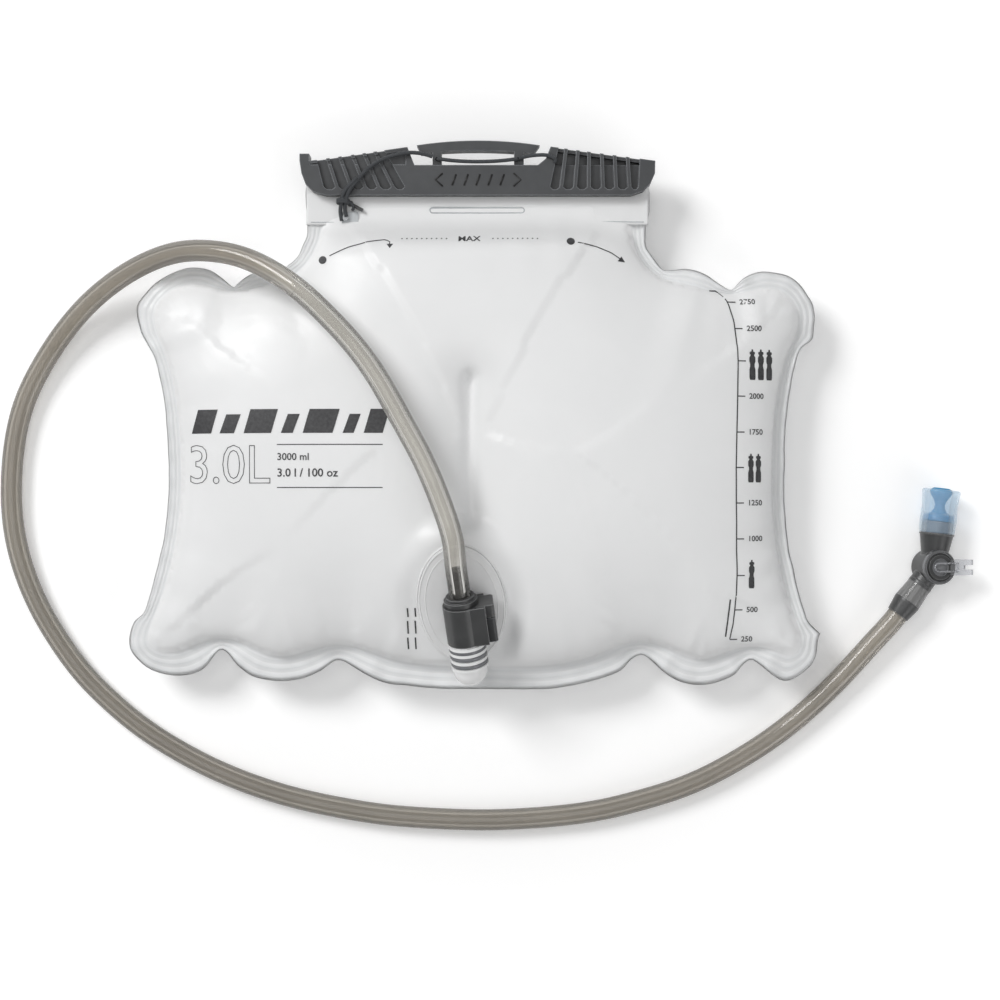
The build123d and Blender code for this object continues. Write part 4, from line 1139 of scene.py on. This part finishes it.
def lever_tube(name, flat_points, height, radius, sides, mat, count=None):
    """Tube through (x, y) points in a plane square to the lever axis."""
    line = np.array([VALVE + LEVER_X * a + LEVER_Y * b + LEVER_AXIS * height
                     for a, b in flat_points])
    return tube(name, resample(line, count) if count else line, radius, sides, mat)


def circle(radius):
    return [(radius * math.cos(w), radius * math.sin(w)) for w in np.linspace(0, TURN, 60)]


attach(join("lever_rings", [lever_tube("lever_ring_a", circle(7.55), 7.42, 0.28, 12, HOUSE),
                            lever_tube("lever_ring_b", circle(6.25), 7.6, 0.5, 12, RUBBER)]),
       "shutoff")
attach(lathe("lever_face", [(4.2, 8.02), (5.9, 8.02), (6.05, 7.95), (6.05, 7.45)],
             VALVE, LEVER_AXIS, LEVER_X, 64, HOUSE), "shutoff")
GRIP_X, GRIP_RADIUS, GRIP_END = -1.4, 1.9, 8.5
grip_line = [(GRIP_X - GRIP_RADIUS * math.sin(w), GRIP_RADIUS * math.cos(w))
             for w in np.linspace(0, math.pi, 12)]
grip_line += [(GRIP_END, -GRIP_RADIUS), (GRIP_END, GRIP_RADIUS), (GRIP_X, GRIP_RADIUS)]
attach(lever_tube("lever_grip", grip_line, 8.75, 0.5, 10, LEVER, count=60),
       "shutoff")

# -------------------------- marks on the slide: a chevron each side of five bars
MARK_X, MARK_Z = 0.4, 28.02
mark_lines = []
for side in (-1, 1):
    x = MARK_X + side * 19.0
    mark_lines.append((f"slide_mark_{side + 1}", [
        (x - side * 2.4, 136.9, MARK_Z), (x + side * 0.9, 139.9, MARK_Z),
        (x - side * 2.4, 142.9, MARK_Z)]))
for k in range(5):
    x = MARK_X + (k - 2) * 5.6
    mark_lines.append((f"slide_bar_{k}", [(x - 0.9, 137.3, MARK_Z), (x + 0.9, 142.4, MARK_Z)]))
attach(join("slide_marks", [tube(name, line, 0.42, 8, RUBBER, caps=True)
                            for name, line in mark_lines]), "slide_seal")

# -------------------------------------------------------------------- stage
FLOOR_GLOW = 0.08
WORLD_LIGHT, WORLD_SEEN = 0.27, 1.0
CAMERA_HEIGHT, VIEW_WIDTH = 1.0, 0.4796     # metres; the width seen at floor level
SENSOR = 36.0


def floor_material():
    """White floor that glows more away from the middle."""
    m = Shader("floor_white")
    white = m.node("BsdfDiffuse", Color=(0.97, 0.97, 0.97))
    glow = m.node("Emission", Color=(1, 1, 1), Strength=FLOOR_GLOW)
    far = m.node("VectorMath", m.coords(), operation="LENGTH").outputs["Value"]
    # distance from, distance to, strength from, strength to
    rises = [m.node("MapRange", far, *limits, interpolation_type="SMOOTHSTEP").outputs[0]
             for limits in ((0.16, 0.36, FLOOR_GLOW, FLOOR_GLOW + 0.34), (0.55, 1.6, 0.0, 0.55))]
    m.link(m.math("ADD", *rises), glow.inputs["Strength"])
    return m.finish(m.node("AddShader", white.outputs[0], glow.outputs[0]).outputs[0])


bpy.ops.mesh.primitive_plane_add(size=8, location=(0, 0, -0.0002))
floor = bpy.context.object
floor.name = "floor"
floor.data.materials.append(floor_material())

# the world lights softly but is seen as full white
world = bpy.data.worlds.new("studio")
bpy.context.scene.world = world
world.use_nodes = True
tree = world.node_tree
background = tree.nodes["Background"]
background.inputs[0].default_value = (1, 1, 1, 1)
light_path = tree.nodes.new("ShaderNodeLightPath")
strength = tree.nodes.new("ShaderNodeMapRange")
strength.inputs[3].default_value = WORLD_LIGHT
strength.inputs[4].default_value = WORLD_SEEN
tree.links.new(light_path.outputs["Is Camera Ray"], strength.inputs[0])
tree.links.new(strength.outputs[0], background.inputs[1])


def area_light(name, location, size, power):
    """Square light aimed at the origin."""
    light = bpy.data.lights.new(name, "AREA")
    light.energy = power
    light.size = size
    ob = bpy.data.objects.new(name, light)
    bpy.context.scene.collection.objects.link(ob)
    ob.location = location
    ob.rotation_euler = (-Vector(location)).to_track_quat("-Z", "Y").to_euler()


area_light("key", (-1.5, 1.3, 1.9), size=1.0, power=46.0)
area_light("top", (-0.1, 0.1, 1.9), size=1.2, power=7.5)
area_light("fill", (1.1, -0.9, 1.0), size=0.9, power=5.0)

lens = bpy.data.cameras.new("cam")
camera = bpy.data.objects.new("cam", lens)
bpy.context.scene.collection.objects.link(camera)
camera.location = (10.6 * MM, -9.4 * MM, CAMERA_HEIGHT)
camera.rotation_euler = (0, 0, 0)
lens.sensor_width = SENSOR
lens.lens = SENSOR * CAMERA_HEIGHT / VIEW_WIDTH
lens.clip_start = 0.01
bpy.context.scene.camera = camera
view = bpy.context.scene.view_settings
view.view_transform = "Standard"
view.look = "None"
view.exposure = 0.0
